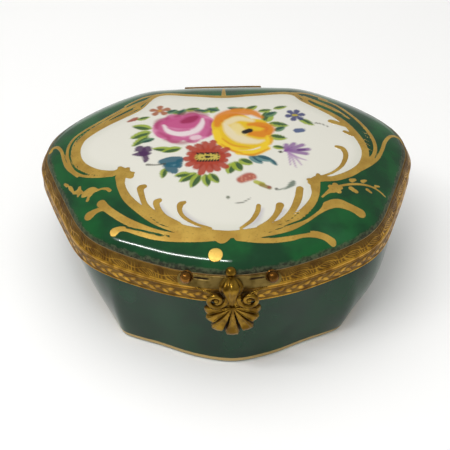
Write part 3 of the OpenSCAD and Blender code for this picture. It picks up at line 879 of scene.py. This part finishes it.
# %% [markdown]
# ## The bowl
# The bowl's side swells from a fluted foot to the smooth rim: at each height it is a blend of the
# two outlines, and 1 - (1 - height) to the SWELL says how far the blend has gone. The foot's flutes fade
# more slowly than its size, so the front corners stay crisp up to the mount, and the right side has a
# slight belly. The foot is rounded where the glaze was wiped off, with a shallow recess underneath,
# and a gilt line runs round it.

# %% Bowl rings
# Millimetres and degrees. The flutes are what a blur of FLUTE_BLUR takes off the foot's outline, and
# the belly is a Gaussian in the angle from the front.
RIM_INSET = 1.3
BOWL_TOP = seam - 0.9
SWELL = 1.6
FOOT_ROUND = 0.8
FLUTE_BLUR = math.radians(11)
BELLY, BELLY_TURN, BELLY_WIDE = 1.8, 62.0, 27.0
rim_here = inset(rim, RIM_INSET)
foot_polar = foot - MIDDLE


def foot_below(loop):
    """The foot's outline at the same angles about the middle as a given outline's points."""
    turns = np.arctan2(foot_polar[:, 0], -foot_polar[:, 1])
    order = np.argsort(turns)
    wanted = np.arctan2(loop[:, 0] - MIDDLE[0], -(loop[:, 1] - MIDDLE[1]))
    radius = np.interp(wanted, turns[order], np.hypot(*foot_polar[order].T), period=2 * np.pi)
    return MIDDLE + radius[:, None] * np.stack([np.sin(wanted), -np.cos(wanted)], 1)


foot_here = foot_below(rim_here)
foot_reach = np.linalg.norm(foot_here - MIDDLE, axis=1)
away_from_middle = (foot_here - MIDDLE) / foot_reach[:, None]
waves = np.arange(len(rim) // 2 + 1)
soft_reach = np.fft.irfft(np.fft.rfft(foot_reach) * np.exp(-0.5 * (waves * FLUTE_BLUR) ** 2))
flutes = (foot_reach - soft_reach)[:, None] * away_from_middle
from_front = np.degrees(np.arctan2(away_from_middle[:, 0], -away_from_middle[:, 1]))
belly = BELLY * np.exp(-((from_front - BELLY_TURN) / BELLY_WIDE) ** 2)[:, None] * away_from_middle
rim_inside = inset(rim_here, WALL)
foot_inside = MIDDLE + (0.9 * soft_reach)[:, None] * away_from_middle


def side(height, inwards):
    """The bowl's side at a height, moved inwards by a distance."""
    up = min(height / low_bottom, 1)
    spread = 1 - (1 - up) ** SWELL
    loop = foot_here + spread * (rim_here - foot_here)
    loop = loop + (spread - up**3) * flutes + math.sin(math.pi * up) * belly
    return raised(inset(loop, inwards), height)


def inside(height, share=1.0):
    """The bowl's inner face at a height, drawn in towards the middle to a share of its size."""
    spread = 1 - (1 - min(height / low_bottom, 1)) ** SWELL
    return raised(shrunk(foot_inside + spread * (rim_inside - foot_inside), share), height)


RECESS_ROWS = 3
outer_heights = np.concatenate([np.linspace(0.9, low_bottom, 44), np.linspace(low_bottom, BOWL_TOP, 4)[1:]])
round_foot = np.radians(np.linspace(0, 90, 6))
bowl_rings = [raised(shrunk(foot_here, s), h) for s,
              h in ((0.2, 0.75), (0.8, 0.7), (0.92, 0.6), (0.945, 0.1))]
bowl_rings += [side(FOOT_ROUND * (1 - math.sin(a)),
                    FOOT_ROUND * (1 - math.cos(a))) for a in round_foot[::-1]]
bowl_rings += [side(h, 0) for h in outer_heights]
first_inside = len(bowl_rings)
bowl_rings += [raised(rim_inside, BOWL_TOP)]
bowl_rings += [inside(h) for h in np.linspace(BOWL_TOP - 0.4, 6.5, 16)]
bowl_rings += [inside(h, s) for h, s in ((5.3, 0.985), (4.4, 0.955), (3.7, 0.9), (3.3, 0.82), (3.1, 0.6),
                                         (3.05, 0.25))]
bowl_rings = np.array(bowl_rings)
row = np.arange(len(bowl_rings))
white = np.repeat(np.where((row < RECESS_ROWS) | (row >= first_inside), 1.0, 0.0), len(rim))
print("bowl:", bowl_rings.shape[0], "rings of", bowl_rings.shape[1], "points")

# %% Bowl glaze
# The gilt line lies between GILT_LOW and GILT_HIGH, and the glaze is wiped off below WIPED.
GILT_LOW, GILT_HIGH, WIPED = 0.5, 1.6, 0.35
bowl_glaze = Finish("bowl glaze")
white_here = bowl_glaze.attribute("white").step(0.4, 0.6)
high = bowl_glaze.height() + (bowl_glaze.noise(3) - 0.5) * 0.35
foot_gilt = high.step(GILT_LOW, 0.62) * (1 - high.step(1.45, GILT_HIGH)) * (1 - white_here)
coat = bowl_glaze.mix(paint(2, 54, 26), paint(0, 38, 18), bowl_glaze.noise(8).step(0.35, 0.7))
coat = bowl_glaze.mix(coat, paint(24, 76, 48), bowl_glaze.noise(15, 5).step(0.55, 0.8) * 0.5)
coat = bowl_glaze.mix(coat, paint(150, 160, 140), 1 - high.step(WIPED, 0.5))
coat = bowl_glaze.mix(coat, paint(214, 212, 202), white_here)
bowl_glaze.set(Base_Color=bowl_glaze.mix(coat, paint(188, 160, 106), foot_gilt), Metallic=foot_gilt * 0.9,
               Roughness=0.06 + foot_gilt * 0.25 + bowl_glaze.noise(3) * 0.03,
               Specular_IOR_Level=BOWL_SPECULAR,
               IOR=IOR)
bowl_glaze.relief(bowl_glaze.noise(7, 1), 0.04)
piece("bowl_porcelain", [(bowl_rings, False)], bowl_glaze, "base", "base_porcelain", ["base_bowl"],
      white=white)


# %% [markdown]
# ## Brass
# All the brass is old: bright where cloth and fingers reach, brown in the cut lines. Each worked
# surface carries a mark called groove, 1 at the bottom of a cut and 0 on the high places, and the
# finish reads it, so dirt lies where the shape says. On the bezels the mark also rises towards the
# face's upper edge, so the brass is made darker there as well.

# %% Brass finishes
CLOUD_SIZE = 2.4


def brass(name, bright, dull, grime, rough, marked=True, soot=1.0):
    """Brass from three cards: bright and dull brass mixed in clouds, and grime in the cuts. soot is how
    much of the grime is left."""
    finish = Finish(name)
    clouds = finish.noise(CLOUD_SIZE, 5)
    tone = finish.mix(paint(*bright), paint(*dull), clouds.step(0.38, 0.66))
    if marked:
        cut = (finish.attribute("groove") + (finish.noise(1.2, 4) - 0.5) * 0.5).step(0.25, 0.95)
    else:
        cut = finish.noise(3.5, 5).step(0.5, 0.8)
    cut = cut * soot
    finish.set(Base_Color=finish.mix(tone, paint(*grime), cut), Metallic=1 - cut * 0.25,
               Roughness=rough + clouds * 0.16 + cut * 0.2)
    finish.relief(finish.noise(0.5, 3), 0.03)
    return finish


# Each finish has its three cards as red, green and blue, and then its roughness where it is bright.
chased = brass("chased brass", (204, 156, 58), (150, 108, 36), (58, 38, 14), 0.24, soot=0.74)
cast = brass("cast brass", (150, 116, 42), (104, 76, 22), (38, 26, 7), 0.2)
plain = brass("plain brass", (190, 148, 76), (140, 102, 48), (70, 46, 20), 0.22, marked=False)
spring_brass = brass("spring brass", (156, 132, 74), (112, 92, 46), (46, 34, 16), 0.3)
pin = brass("pin brass", (196, 156, 84), (150, 112, 56), (80, 54, 26), 0.2, marked=False)
ball_brass = brass("rivet brass", (146, 100, 44), (104, 68, 26), (50, 32, 12), 0.18, marked=False)
plaster = Finish("plaster")
plaster.set(Base_Color=plaster.mix(paint(150, 130, 96), paint(98, 78, 48), plaster.noise(2.5)),
            Roughness=0.9)
plaster.relief(plaster.noise(0.7), 0.05)
for node in ("base_cement", "lid_cement"):
    for place in frame["nodes"][node].material_slots:
        place.material = plaster.material
print("brass finishes:", [f.material.name for f in (chased, cast, plain, spring_brass, pin, ball_brass)])


# %% [markdown]
# ## The chased bezels
# A bezel is one band of brass bent round the outline. The lower face is chased with laurel: pairs of
# leaves grow from a wavy stem, all in equal steps round the box. The upper face leans in and carries
# slanting cuts below a bright bead. The cutting is real relief, so its edges catch the light.

# %% Chasing patterns
BEZEL_POINTS = 1800
FACE_ROWS = 27
wide_rim = outline("upper_bezel", lean_bottom, BEZEL_POINTS)
LEAF_PITCH = girth / 84
LEAF_LONG, LEAF_WIDE, LEAF_TURN, LEAF_OFF = 1.15, 0.55, 26, 0.45
STEM_SWAY, STEM_HALF, STEM_HIGH = 0.35, 0.18, 0.55
CUT_PITCH, LEAVES_PER_SWING, LINE_SWAY, LINE_HALF = 0.8, 2.2, 0.3, 0.16


def hill(across, along, long, wide, turn):
    """A leaf-shaped hill about a point, turned by some degrees: 1 less the square of the way along it and
    less the way across it, which counts for more towards the tip."""
    a = math.radians(turn)
    x = (along * math.cos(a) + across * math.sin(a)) / long
    y = (-along * math.sin(a) + across * math.cos(a)) / wide
    return (1 - x**2 - np.abs(y) * (1 + 0.6 * x)).clip(0, 1)


def laurel(along, up):
    """Relief from 0 to 1: for each pitch one leaf rises from the stem and one hangs from it, half a
    pitch apart. along and up are in mm, and up is 0 at the middle of the face."""
    stem = STEM_SWAY * np.sin(2 * np.pi * along / LEAF_PITCH)
    relief = STEM_HIGH * np.exp(-((up - stem) / STEM_HALF) ** 2)
    for shift, way in ((0.0, 1), (0.5, -1)):
        for reach in (-1, 0, 1):
            here = (along / LEAF_PITCH + shift) % 1 - 0.5 + reach
            leaf = hill(up - way * LEAF_OFF, here * LEAF_PITCH, LEAF_LONG, LEAF_WIDE, way * LEAF_TURN)
            vein = 1 - 0.5 * np.exp(-((up - way * LEAF_OFF - here * LEAF_PITCH * 0.4 * way) / 0.09) ** 2)
            relief = np.maximum(relief, leaf ** 0.6 * vein)
    return relief


def hatching(along, up):
    """Relief from 0 to 1: the greater of a wavy middle line and of a sine along the face, whose cuts slant
    because up is added to along, more or less as the line swings."""
    swing = np.sin(2 * np.pi * along / (LEAVES_PER_SWING * LEAF_PITCH))
    cuts = 0.5 + 0.5 * np.sin(2 * np.pi * (along + up * (0.9 + 0.8 * swing)) / CUT_PITCH)
    line = np.exp(-((up - LINE_SWAY * swing) / LINE_HALF) ** 2)
    return np.maximum(cuts ** 0.7 * 0.8, line)


def bezel(face, pattern, depth_mm, rest, top_darkening):
    """Rings of a bezel and its groove mark. face is the worked face's two ends as (inset, height), and
    rest the other corners of the section, both in order round it. A bead runs along both edges of the
    face, the pattern stands between them, and what neither reaches is pushed in by depth_mm. The last
    argument raises the groove mark towards the face's upper edge, less and less downwards, so that the
    brass is made darker there."""
    (in_0, z_0), (in_1, z_1) = face
    length = math.hypot(in_1 - in_0, z_1 - z_0)
    lean = np.array([z_0 - z_1, in_1 - in_0]) / length
    pushed = np.array([abs(lean[0]), -abs(lean[1])])
    along = np.arange(BEZEL_POINTS) * girth / BEZEL_POINTS
    rings, groove = [], []
    for share in np.linspace(0, 1, FACE_ROWS):
        up = (share - 0.5) * length
        bead = max(math.exp(-((share - 0.04) / 0.04) ** 2), math.exp(-((share - 0.95) / 0.05) ** 2))
        quiet = min(max((0.5 - abs(share - 0.5) - 0.09) / 0.05, 0), 1)
        height = np.maximum(bead, quiet * pattern(along, -up))
        sunk = depth_mm * (1 - height)
        rings.append(raised(inset(wide_rim, in_0 + share * (in_1 - in_0) + sunk * pushed[0]),
                            z_0 + share * (z_1 - z_0) + sunk * pushed[1]))
        # the groove mark rises towards the face's upper edge, which makes the brass darker there
        groove.append(1 - height + top_darkening * (1 - share))
    for corner_in, corner_z in rest:
        rings.append(raised(inset(wide_rim, corner_in), corner_z))
        groove.append(np.full(BEZEL_POINTS, 0.35))
    return np.array(rings), np.concatenate(groove)


# %% Lower bezel
LAUREL_DEEP, HATCHING_DEEP = 0.17, 0.14
# how much darker each bezel's face is made towards its upper edge, below and above the seam
TOP_DARK_BELOW, TOP_DARK_ABOVE = 0.25, 0.8
low_rings, low_groove_and_darkening = bezel(
    [(0.05, seam - 0.12), (0.05, low_bottom + 0.1)], laurel, LAUREL_DEEP,
    [(0.2, low_bottom), (0.9, low_bottom), (1.0, low_bottom + 0.1), (1.0, seam - 0.7), (4.3, seam - 0.7),
     (4.4, seam - 0.6), (4.4, seam + 0.8), (4.3, seam + 0.9), (3.9, seam + 0.9), (3.8, seam + 0.8),
     (3.8, seam), (0.25, seam), (0.1, seam - 0.04)], TOP_DARK_BELOW)
piece("lower_bezel_chased", [(low_rings, True)], chased, "base", "chased_brass", ["lower_bezel"],
      groove=low_groove_and_darkening)

# %% Upper bezel
up_rings, up_groove_and_darkening = bezel(
    [(1.3, upper_top), (0.03, lean_bottom)], hatching, HATCHING_DEEP,
    [(0.0, lean_bottom - 0.1), (0.0, upper_bottom + 0.08), (0.08, upper_bottom), (3.55, upper_bottom),
     (3.65, upper_bottom + 0.1), (3.65, upper_bottom + 0.6), (3.55, upper_bottom + 0.7),
     (1.5, upper_bottom + 0.7), (1.5, upper_top - 0.05), (1.45, upper_top)], TOP_DARK_ABOVE)
piece("upper_bezel_chased", [(up_rings, True)], chased, "lid", "chased_brass", ["upper_bezel"],
      groove=up_groove_and_darkening)


# %% [markdown]
# ## Fittings on the bezels
# Everything fastened to the bezels sits on their faces, so one function turns a place on a face,
# which is how far along the rim from the front, how far in and how high, into a point. A bent strip
# is then its section carried along the rim, drawn in at both ends so that they are round.

# %% Places along the rim
rim_walk = np.arange(BEZEL_POINTS) * girth / BEZEL_POINTS
closer = np.roll(wide_rim, -1, 0) - np.roll(wide_rim, 1, 0)
rim_inwards = np.stack([-closer[:, 1], closer[:, 0]], 1) / np.linalg.norm(closer, axis=1)[:, None]
# The leaning face as a step inwards and a step up, and the unit step out of it.
LEAN_IN, LEAN_HIGH = 1.3, upper_top - lean_bottom
LEAN_LENGTH = math.hypot(LEAN_IN, LEAN_HIGH)
OUT_IN, OUT_HIGH = -LEAN_HIGH / LEAN_LENGTH, LEAN_IN / LEAN_LENGTH


def on_rim(along, inwards, height):
    """Points at a distance along the rim from the front, moved inwards and at a height, all in mm."""
    along, inwards, height = np.broadcast_arrays(along, inwards, height)
    spot = np.stack([np.interp(along, rim_walk, wide_rim[:, k], period=girth) for k in (0, 1)], -1)
    normal = np.stack([np.interp(along, rim_walk, rim_inwards[:, k], period=girth) for k in (0, 1)], -1)
    return np.concatenate([spot + inwards[..., None] * normal, height[..., None]], -1)


def on_lean(along, share, out):
    """Points on the upper bezel's leaning face: share is 0 at its foot and 1 at its top."""
    return on_rim(along, share * LEAN_IN + out * OUT_IN, lean_bottom + share * LEAN_HIGH + out * OUT_HIGH)


def rounded(section, radius, steps=5):
    """A closed section of (inset, height) corners with its corners cut to arcs."""
    section = np.asarray(section, float)
    before, after = np.roll(section, 1, 0), np.roll(section, -1, 0)
    cut_in = section + radius * (before - section) / np.linalg.norm(before - section, axis=1)[:, None]
    cut_out = section + radius * (after - section) / np.linalg.norm(after - section, axis=1)[:, None]
    t = np.linspace(0, 1, steps)[None, :, None]
    arcs = (1 - t) ** 2 * cut_in[:, None] + 2 * t * (1 - t) * section[:, None] + t**2 * cut_out[:, None]
    return arcs.reshape(-1, 2)


def strip(middle, reach, section, end=0.5, count=90):
    """Rings of a strip bent along the rim: a section of (inset, height) points for each step along, drawn
    in towards the section's middle over the last end mm by a quarter circle."""
    along = np.linspace(-reach, reach, count)
    section = np.asarray(section)
    centre = section.mean(0)
    left = ((reach - np.abs(along)) / end).clip(0, 1)
    scale = np.sqrt(1 - (1 - left) ** 2).clip(0.05, 1)[:, None, None]
    drawn = centre + scale * (section - centre)
    return on_rim((middle + along)[:, None], drawn[..., 0], drawn[..., 1])


# %% Spring strip
# The strip was fitted a little askew, ASKEW mm along the rim. A slot is sunk in it on each side of the
# palmette and a fine line runs along its foot.
STRIP_REACH, STRIP_THICK, STRIP_STEPS = 11.4, 0.36, 160
SLOT_AT, SLOT_HALF, SLOT_DEEP = 6.1, 1.9, 0.25
ASKEW = -1.0
face_rows = np.linspace(0.02, 0.98, 16)
strip_section = [(s * LEAN_IN + out * OUT_IN, lean_bottom + s * LEAN_HIGH + out * OUT_HIGH)
                 for rows, out in ((face_rows, STRIP_THICK), (face_rows[::-3], 0.02)) for s in rows]
strip_rings = strip(ASKEW, STRIP_REACH, strip_section, 1.3, STRIP_STEPS)
strip_along = np.linspace(-STRIP_REACH, STRIP_REACH, STRIP_STEPS)[:, None]
strip_share = np.array([*face_rows, *np.full(len(strip_section) - len(face_rows), FAR)])[None, :]
slot = np.exp(-((np.abs(strip_along) - SLOT_AT) / SLOT_HALF) ** 6)
slot = np.exp(-((strip_share - 0.72) / 0.09) ** 4) * slot
seat = np.exp(-((strip_share - 0.1) / 0.05) ** 2) * 0.5
strip_rings -= SLOT_DEEP * (slot + 0.3 * seat)[..., None] * np.array([0, OUT_IN, OUT_HIGH])
piece("spring_strip", [(strip_rings, False)], spring_brass, "lid", "spring_brass", ["clasp_spring"],
      groove=(slot + seat).clip(0, 1).ravel())


# %% [markdown]
# ## Turned pieces
# A rivet head, the hinge's pin and knuckles and the catch's stud are turned: a profile of radius and
# length is carried round an axis.

# %% Turning
def turned(profile, base, axis, count=48, flutes=None):
    """Rings of a turned piece: each point is the base, plus a length along the axis, plus a radius in the
    direction of a turn. profile is (radius, length) by point, in mm, and flutes is a function of the
    turn that the radius is multiplied by."""
    axis = np.asarray(axis, float) / np.linalg.norm(axis)
    aside = np.cross(axis, [0, 0, 1] if abs(axis[2]) < 0.9 else [0, 1, 0])
    aside /= np.linalg.norm(aside)
    across = np.cross(axis, aside)
    turn = np.linspace(0, 2 * np.pi, count, endpoint=False)
    radius, length = np.asarray(profile, float).T
    radius = radius[:, None] * (flutes(turn) if flutes else np.ones(count))[None, :]
    round_it = np.cos(turn)[None, :, None] * aside + np.sin(turn)[None, :, None] * across
    return np.asarray(base) + length[:, None, None] * axis + radius[..., None] * round_it


def arc(radius, centre, start, end, count=10):
    """Profile points of a ball's outline: radius times the sine, and centre less radius times the cosine, of
    angles in degrees."""
    a = np.radians(np.linspace(start, end, count))
    return [(radius * math.sin(k), centre - radius * math.cos(k)) for k in a]


# %% Rivets
RIVET_SHARE = 0.73
rivet_profile = [(0.3, -0.35), (1.2, -0.3), (1.4, -0.1), (1.42, 0.02), (1.36, 0.12), (1.24, 0.16)]
rivet_profile += arc(1.32, 0.78, 66, 176, 16)
for name in ("rivet_left", "rivet_right"):
    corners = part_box(name)
    rivet_at = np.array((corners[0].x + corners[1].x) / 2 / MM + ASKEW)
    seat_at = on_lean(rivet_at, RIVET_SHARE, 0.3)
    rivet_axis = on_lean(rivet_at, RIVET_SHARE, 1.3) - seat_at
    rings = turned(rivet_profile, seat_at, rivet_axis)
    piece(name + "_head", [(rings, False)], ball_brass, "lid", "cast_brass", [name])


# %% [markdown]
# ## The clasp's palmette
# The thumb piece is a cast shell of seven lobes. In polar places round its heart, the radius follows
# the lobes and the height is a low dome with, on each lobe, a hollow between two fine ridges and a
# swelling at the tip. Two scrolls, a bud with a ball and two tendrils finish it, all one casting.

# %% Shell
# The heart is where the lobes meet. LOBE is a lobe's turn in degrees, and a lobe is SHELL_R mm long at
# the side and TIP_R at the bottom. Above HEART_TURN degrees the shell shrinks to a small round boss.
PLATE_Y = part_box("clasp_hook")[1].y / MM - 0.8
HEART = np.array([0.4 * ASKEW, PLATE_Y, seam - 2.2])
LOBE = 26.0
SHELL_R, TIP_R, BOSS_R = 6.2, 9.3, 2.4
HEART_TURN, HEART_FADE = 88, 14
SHELL_ROWS, SHELL_COLUMNS = 44, 540
SCROLL_X, SCROLL_UP = 3.5, 2.0


def shell():
    """Rings from the middle of the face out to the rim and back behind it, with their groove mark. The
    face's lift at a share rho of the radius is a dome, the root of 1 - rho to the 2.4, plus a Gaussian
    ridge on each side of a lobe and one at its tip, less a Gaussian cut between lobes."""
    degrees = np.linspace(-180, 180, SHELL_COLUMNS, endpoint=False)
    number = np.round(degrees / LOBE).clip(-3, 3)
    off = (degrees - LOBE * number) / (LOBE / 2)
    reach = SHELL_R + (TIP_R - SHELL_R) * np.cos(np.radians(LOBE * number)) ** 3
    lobed = reach * (1 - 0.15 * np.abs(off.clip(-1, 1)) ** 2.6)
    fade = ((np.abs(degrees) - HEART_TURN) / HEART_FADE).clip(0, 1)
    radius = lobed * (1 - fade) + BOSS_R * fade
    a = np.radians(degrees)
    width = off.clip(-1, 1)
    rings, groove = [], []
    for rho in np.linspace(0.03, 1, SHELL_ROWS):
        ridge = np.exp(-((np.abs(width) - 0.62) / 0.16) ** 2) * min(rho * 2.2, 1)
        cut = np.exp(-((1 - np.abs(width)) / 0.17) ** 2) * (1 - fade) * min(rho * 2, 1)
        tip = math.exp(-((rho - 0.86) / 0.1) ** 2) * (1 - width**2)
        lift = 0.5 + 0.75 * math.sqrt(max(1 - rho**2.4, 0)) + 0.26 * ridge - 0.42 * cut + 0.3 * tip
        lift = lift * (1 - 0.3 * fade) - 0.25 * max(rho - 0.94, 0) / 0.06
        rings.append(np.stack([rho * radius * np.sin(a), -lift, -rho * radius * np.cos(a)], 1))
        hollow = 0.45 * (1 - ridge) * math.exp(-((rho - 0.5) / 0.3) ** 2)
        groove.append((cut + hollow + 0.6 * fade * (rho > 0.8)).clip(0, 1))
    for share, back in ((1.0, 0.12), (0.985, 0.0), (0.6, 0.0), (0.1, 0.0)):
        rings.append(np.stack([share * radius * np.sin(a), np.full(len(a), -back),
                               -share * radius * np.cos(a)], 1))
        groove.append(np.full(len(a), 0.7))
    return np.array(rings) + HEART, np.concatenate(groove)


def wire(path, radii, count=16):
    """Rings of a tapered wire: a circle square to the path at each of its points, closed by round ends."""
    path = np.asarray(path, float)
    along = np.gradient(path, axis=0)
    along /= np.linalg.norm(along, axis=1)[:, None]
    aside = np.cross(along, [0.0, 1.0, 0.02])
    aside /= np.linalg.norm(aside, axis=1)[:, None]
    across = np.cross(along, aside)
    turn = np.linspace(0, 2 * np.pi, count, endpoint=False)[None, :, None]
    radii = np.asarray(radii)[:, None, None]
    return path[:, None] + radii * (np.cos(turn) * aside[:, None] + np.sin(turn) * across[:, None])


def scroll(hand):
    """A volute: the radius about its eye falls evenly from 2.35 to 0.45 mm over nearly one and a half
    turns."""
    t = np.linspace(0, 1, 70)
    a = np.radians(-35 + 520 * t)
    reach = 2.35 * (1 - t) + 0.45 * t
    eye = HEART + np.array([hand * SCROLL_X, -0.75, SCROLL_UP])
    path = eye + np.stack([-hand * reach * np.cos(a), -0.45 * t, -reach * np.sin(a)], 1)
    taper = np.minimum(np.minimum(t / 0.04, (1 - t) / 0.03), 1).clip(0.1, 1)
    return wire(path, (0.62 - 0.22 * t) * taper)


def tendril(hand):
    """A thin rib that leaves the bud's foot and runs out along the leaning bezel."""
    line = through([(0.7, -0.5, 0.9), (1.8, -0.75, 2.0), (3.4, -0.75, 3.1), (5.4, -0.5, 3.8),
                    (8, -0.15, 4.3)],
                   fineness=9)
    t = np.linspace(0, 1, len(line))
    on = on_rim(0.6 * ASKEW + hand * line[:, 0], line[:, 1] - 0.35 + 0.35 * t, HEART[2] + line[:, 2] - 1.2)
    return wire(on, (0.42 - 0.22 * t) * np.minimum(np.minimum(t / 0.05, (1 - t) / 0.05), 1).clip(0.1, 1))


# %% Bud, ball and the whole casting
BUD_AXIS = np.array([0.0, LEAN_IN, LEAN_HIGH]) / LEAN_LENGTH
BUD_FOOT = np.array([0.7 * ASKEW, PLATE_Y, lean_bottom]) - 1.8 * BUD_AXIS
bud_profile = through([(0.5, -0.6), (0.9, 0.2), (1.6, 1.4), (2.3, 2.7), (2.35, 3.7), (1.7, 4.8),
                       (0.95, 5.4), (0.7, 5.65)], fineness=5)
bud = turned(bud_profile, BUD_FOOT, BUD_AXIS, 96,
             lambda turn: 1 + 0.11 * np.abs(np.cos(2.5 * turn)) - 0.05 * np.cos(10 * turn))
ball = turned(arc(1.2, 6.6, 14, 176, 18), BUD_FOOT, BUD_AXIS)
collar = turned([(0.5, 5.3), (0.95, 5.35), (1.05, 5.5), (0.95, 5.65), (0.5, 5.7)], BUD_FOOT, BUD_AXIS)
eyes = [turned(arc(0.62, 0.3, 20, 175, 10), HEART + np.array([hand * SCROLL_X, -0.6, SCROLL_UP]),
               (0, -1, 0), 24)
        for hand in (-1, 1)]
lean_out = np.array([0.0, -LEAN_HIGH, LEAN_IN]) / LEAN_LENGTH
PRESSED = 0.8


def pressed_flat(rings):
    """A turned piece with the side that faces the bezel pressed to a fifth of its depth."""
    behind = -((rings - BUD_FOOT) @ lean_out)
    return rings + np.where(behind > 0, PRESSED * behind, 0)[..., None] * lean_out


shell_rings, shell_groove = shell()
casting = [shell_rings, scroll(-1), scroll(1), tendril(-1), tendril(1)]
casting += [pressed_flat(rings) for rings in (bud, ball, collar)] + eyes
piece("clasp_palmette", [(rings, False) for rings in casting], cast, "clasp", "cast_brass",
      ["clasp_ornament"], groove=shell_groove)


# %% [markdown]
# ## Catch and hinge
# Behind the shell a tongue snaps under a stud on the lower bezel. At the back, five knuckles are
# brazed to two leaves in turn and a pin runs through them all.

# %% Blocks
def block(low, high, edge):
    """Rings up a block with rounded edges: a rounded rectangle at each height, whose corners are quarter
    circles of radius edge, and which shrinks by edge times (1 - sine) towards both ends."""
    low, high = np.asarray(low, float), np.asarray(high, float)
    corners = np.array([(-1, -1), (1, -1), (1, 1), (-1, 1)])
    turn = np.radians(np.linspace(0, 90, 4))
    quarter = np.radians([0, 30, 60, 90])
    levels = [(low[2] + edge * (1 - math.cos(a)), a) for a in quarter]
    levels += [(high[2] - edge * (1 - math.cos(a)), a) for a in quarter[::-1]]
    rings = []
    for height, a in levels:
        half = (high[:2] - low[:2]) / 2 - edge * (1 - math.sin(a)) - edge
        ring = [np.column_stack([c[0] * half[0] + edge * np.cos(turn + math.pi + k * math.pi / 2),
                                 c[1] * half[1] + edge * np.sin(turn + math.pi + k * math.pi / 2)])
                for k, c in enumerate(corners)]
        rings.append(raised(np.vstack(ring) + (low[:2] + high[:2]) / 2, height))
    return np.array(rings)


tongue_low, tongue_high = (np.array(c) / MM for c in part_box("clasp_hook"))
piece("clasp_tongue", [(block(tongue_low, tongue_high, 0.12), False)], plain, "clasp", "plain_brass",
      ["clasp_hook"])
stud_low, stud_high = (np.array(c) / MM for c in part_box("catch_stud"))
stud_r = (stud_high[0] - stud_low[0]) / 2
stud_base = np.array([0, stud_high[1] + 0.2, (stud_low[2] + stud_high[2]) / 2])
stud_profile = [(stud_r * share, length) for share, length in
                ((1, 0.1), (1, 1.0), (0.94, 1.1), (0.75, 1.17), (0.4, 1.2))]
stud = turned(stud_profile, stud_base, (0, -1, 0), 32)
piece("catch_stud_pin", [(stud, False)], plain, "base", "plain_brass", ["catch_stud"])

# %% Hinge
HINGE = np.array(frame["joints"][0]["pos_m"]) / MM
KNUCKLE_R, BORE_R, ROUND = 1.3, 0.58, 0.18
WEB_DEEP, WEB_HIGH, WEB_SHORT = 0.95, 1.6, 0.02
WEB_FROM_PIN = {"lid": 0.7, "base": -2.3}
for node in ("base_knuckle_left", "base_knuckle_centre", "base_knuckle_right", "lid_knuckle_left",
             "lid_knuckle_right"):
    low, high = (np.array(c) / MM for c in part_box(node))
    length = high[0] - low[0]
    half = length / 2
    # out from the bore, over a rounded end, past a fine groove in the middle and back at the other end
    ring = [(BORE_R, 0.0), (KNUCKLE_R - ROUND, 0.0), (KNUCKLE_R - 0.05, 0.05), (KNUCKLE_R, ROUND),
            (KNUCKLE_R, half - 0.05), (KNUCKLE_R - 0.04, half), (KNUCKLE_R, half + 0.05),
            (KNUCKLE_R, length - ROUND), (KNUCKLE_R - 0.05, length - 0.05), (KNUCKLE_R - ROUND, length),
            (BORE_R, length)]
    barrel = turned(ring, (low[0], HINGE[1], HINGE[2]), (1, 0, 0), 56)
    body = node.split("_")[0]
    web_low = HINGE[2] + WEB_FROM_PIN[body]
    web_y = HINGE[1] - KNUCKLE_R + 0.2
    web = block((low[0] + WEB_SHORT, web_y, web_low),
                (high[0] - WEB_SHORT, web_y + WEB_DEEP, web_low + WEB_HIGH), 0.08)
    piece(node + "_barrel", [(barrel, True), (web, False)], plain, body, "plain_brass", [node])

pin_low, pin_high = (np.array(c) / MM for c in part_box("hinge_pin"))
pin_r, pin_long = (pin_high[2] - pin_low[2]) / 2, pin_high[0] - pin_low[0]
pin_end = [(pin_r * 0.5, 0.0), (pin_r * 0.85, 0.06), (pin_r, 0.2)]
pin_profile = pin_end + [(radius, pin_long - length) for radius, length in pin_end[::-1]]
pin_rings = turned(pin_profile, (pin_low[0], HINGE[1], HINGE[2]), (1, 0, 0), 32)
piece("hinge_pin_rod", [(pin_rings, False)], pin, "base", "pin_brass", ["hinge_pin"])

# %% Hinge leaves
LEAF_THICK = 0.4
leaf_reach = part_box("lower_hinge_leaf")[1].x / MM
low_z0, low_z1 = (c.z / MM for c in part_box("lower_hinge_leaf"))
up_z0, up_z1 = (c.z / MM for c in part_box("upper_hinge_leaf"))
up_in = LEAN_IN * (up_z0 - lean_bottom) / LEAN_HIGH
lower_leaf = [(0.02, low_z0), (0.02, low_z1), (-LEAF_THICK, low_z1), (-LEAF_THICK, low_z0)]
upper_leaf = [(up_in, up_z0), (LEAN_IN, up_z1), (-LEAF_THICK, up_z1), (-LEAF_THICK, up_z0)]
for level, body, section in (("lower", "base", lower_leaf), ("upper", "lid", upper_leaf)):
    plate = strip(girth / 2, leaf_reach, rounded(section, 0.1), 0.3)
    piece(level + "_hinge_plate", [(plate, False)], plain, body, "plain_brass", [level + "_hinge_leaf"])
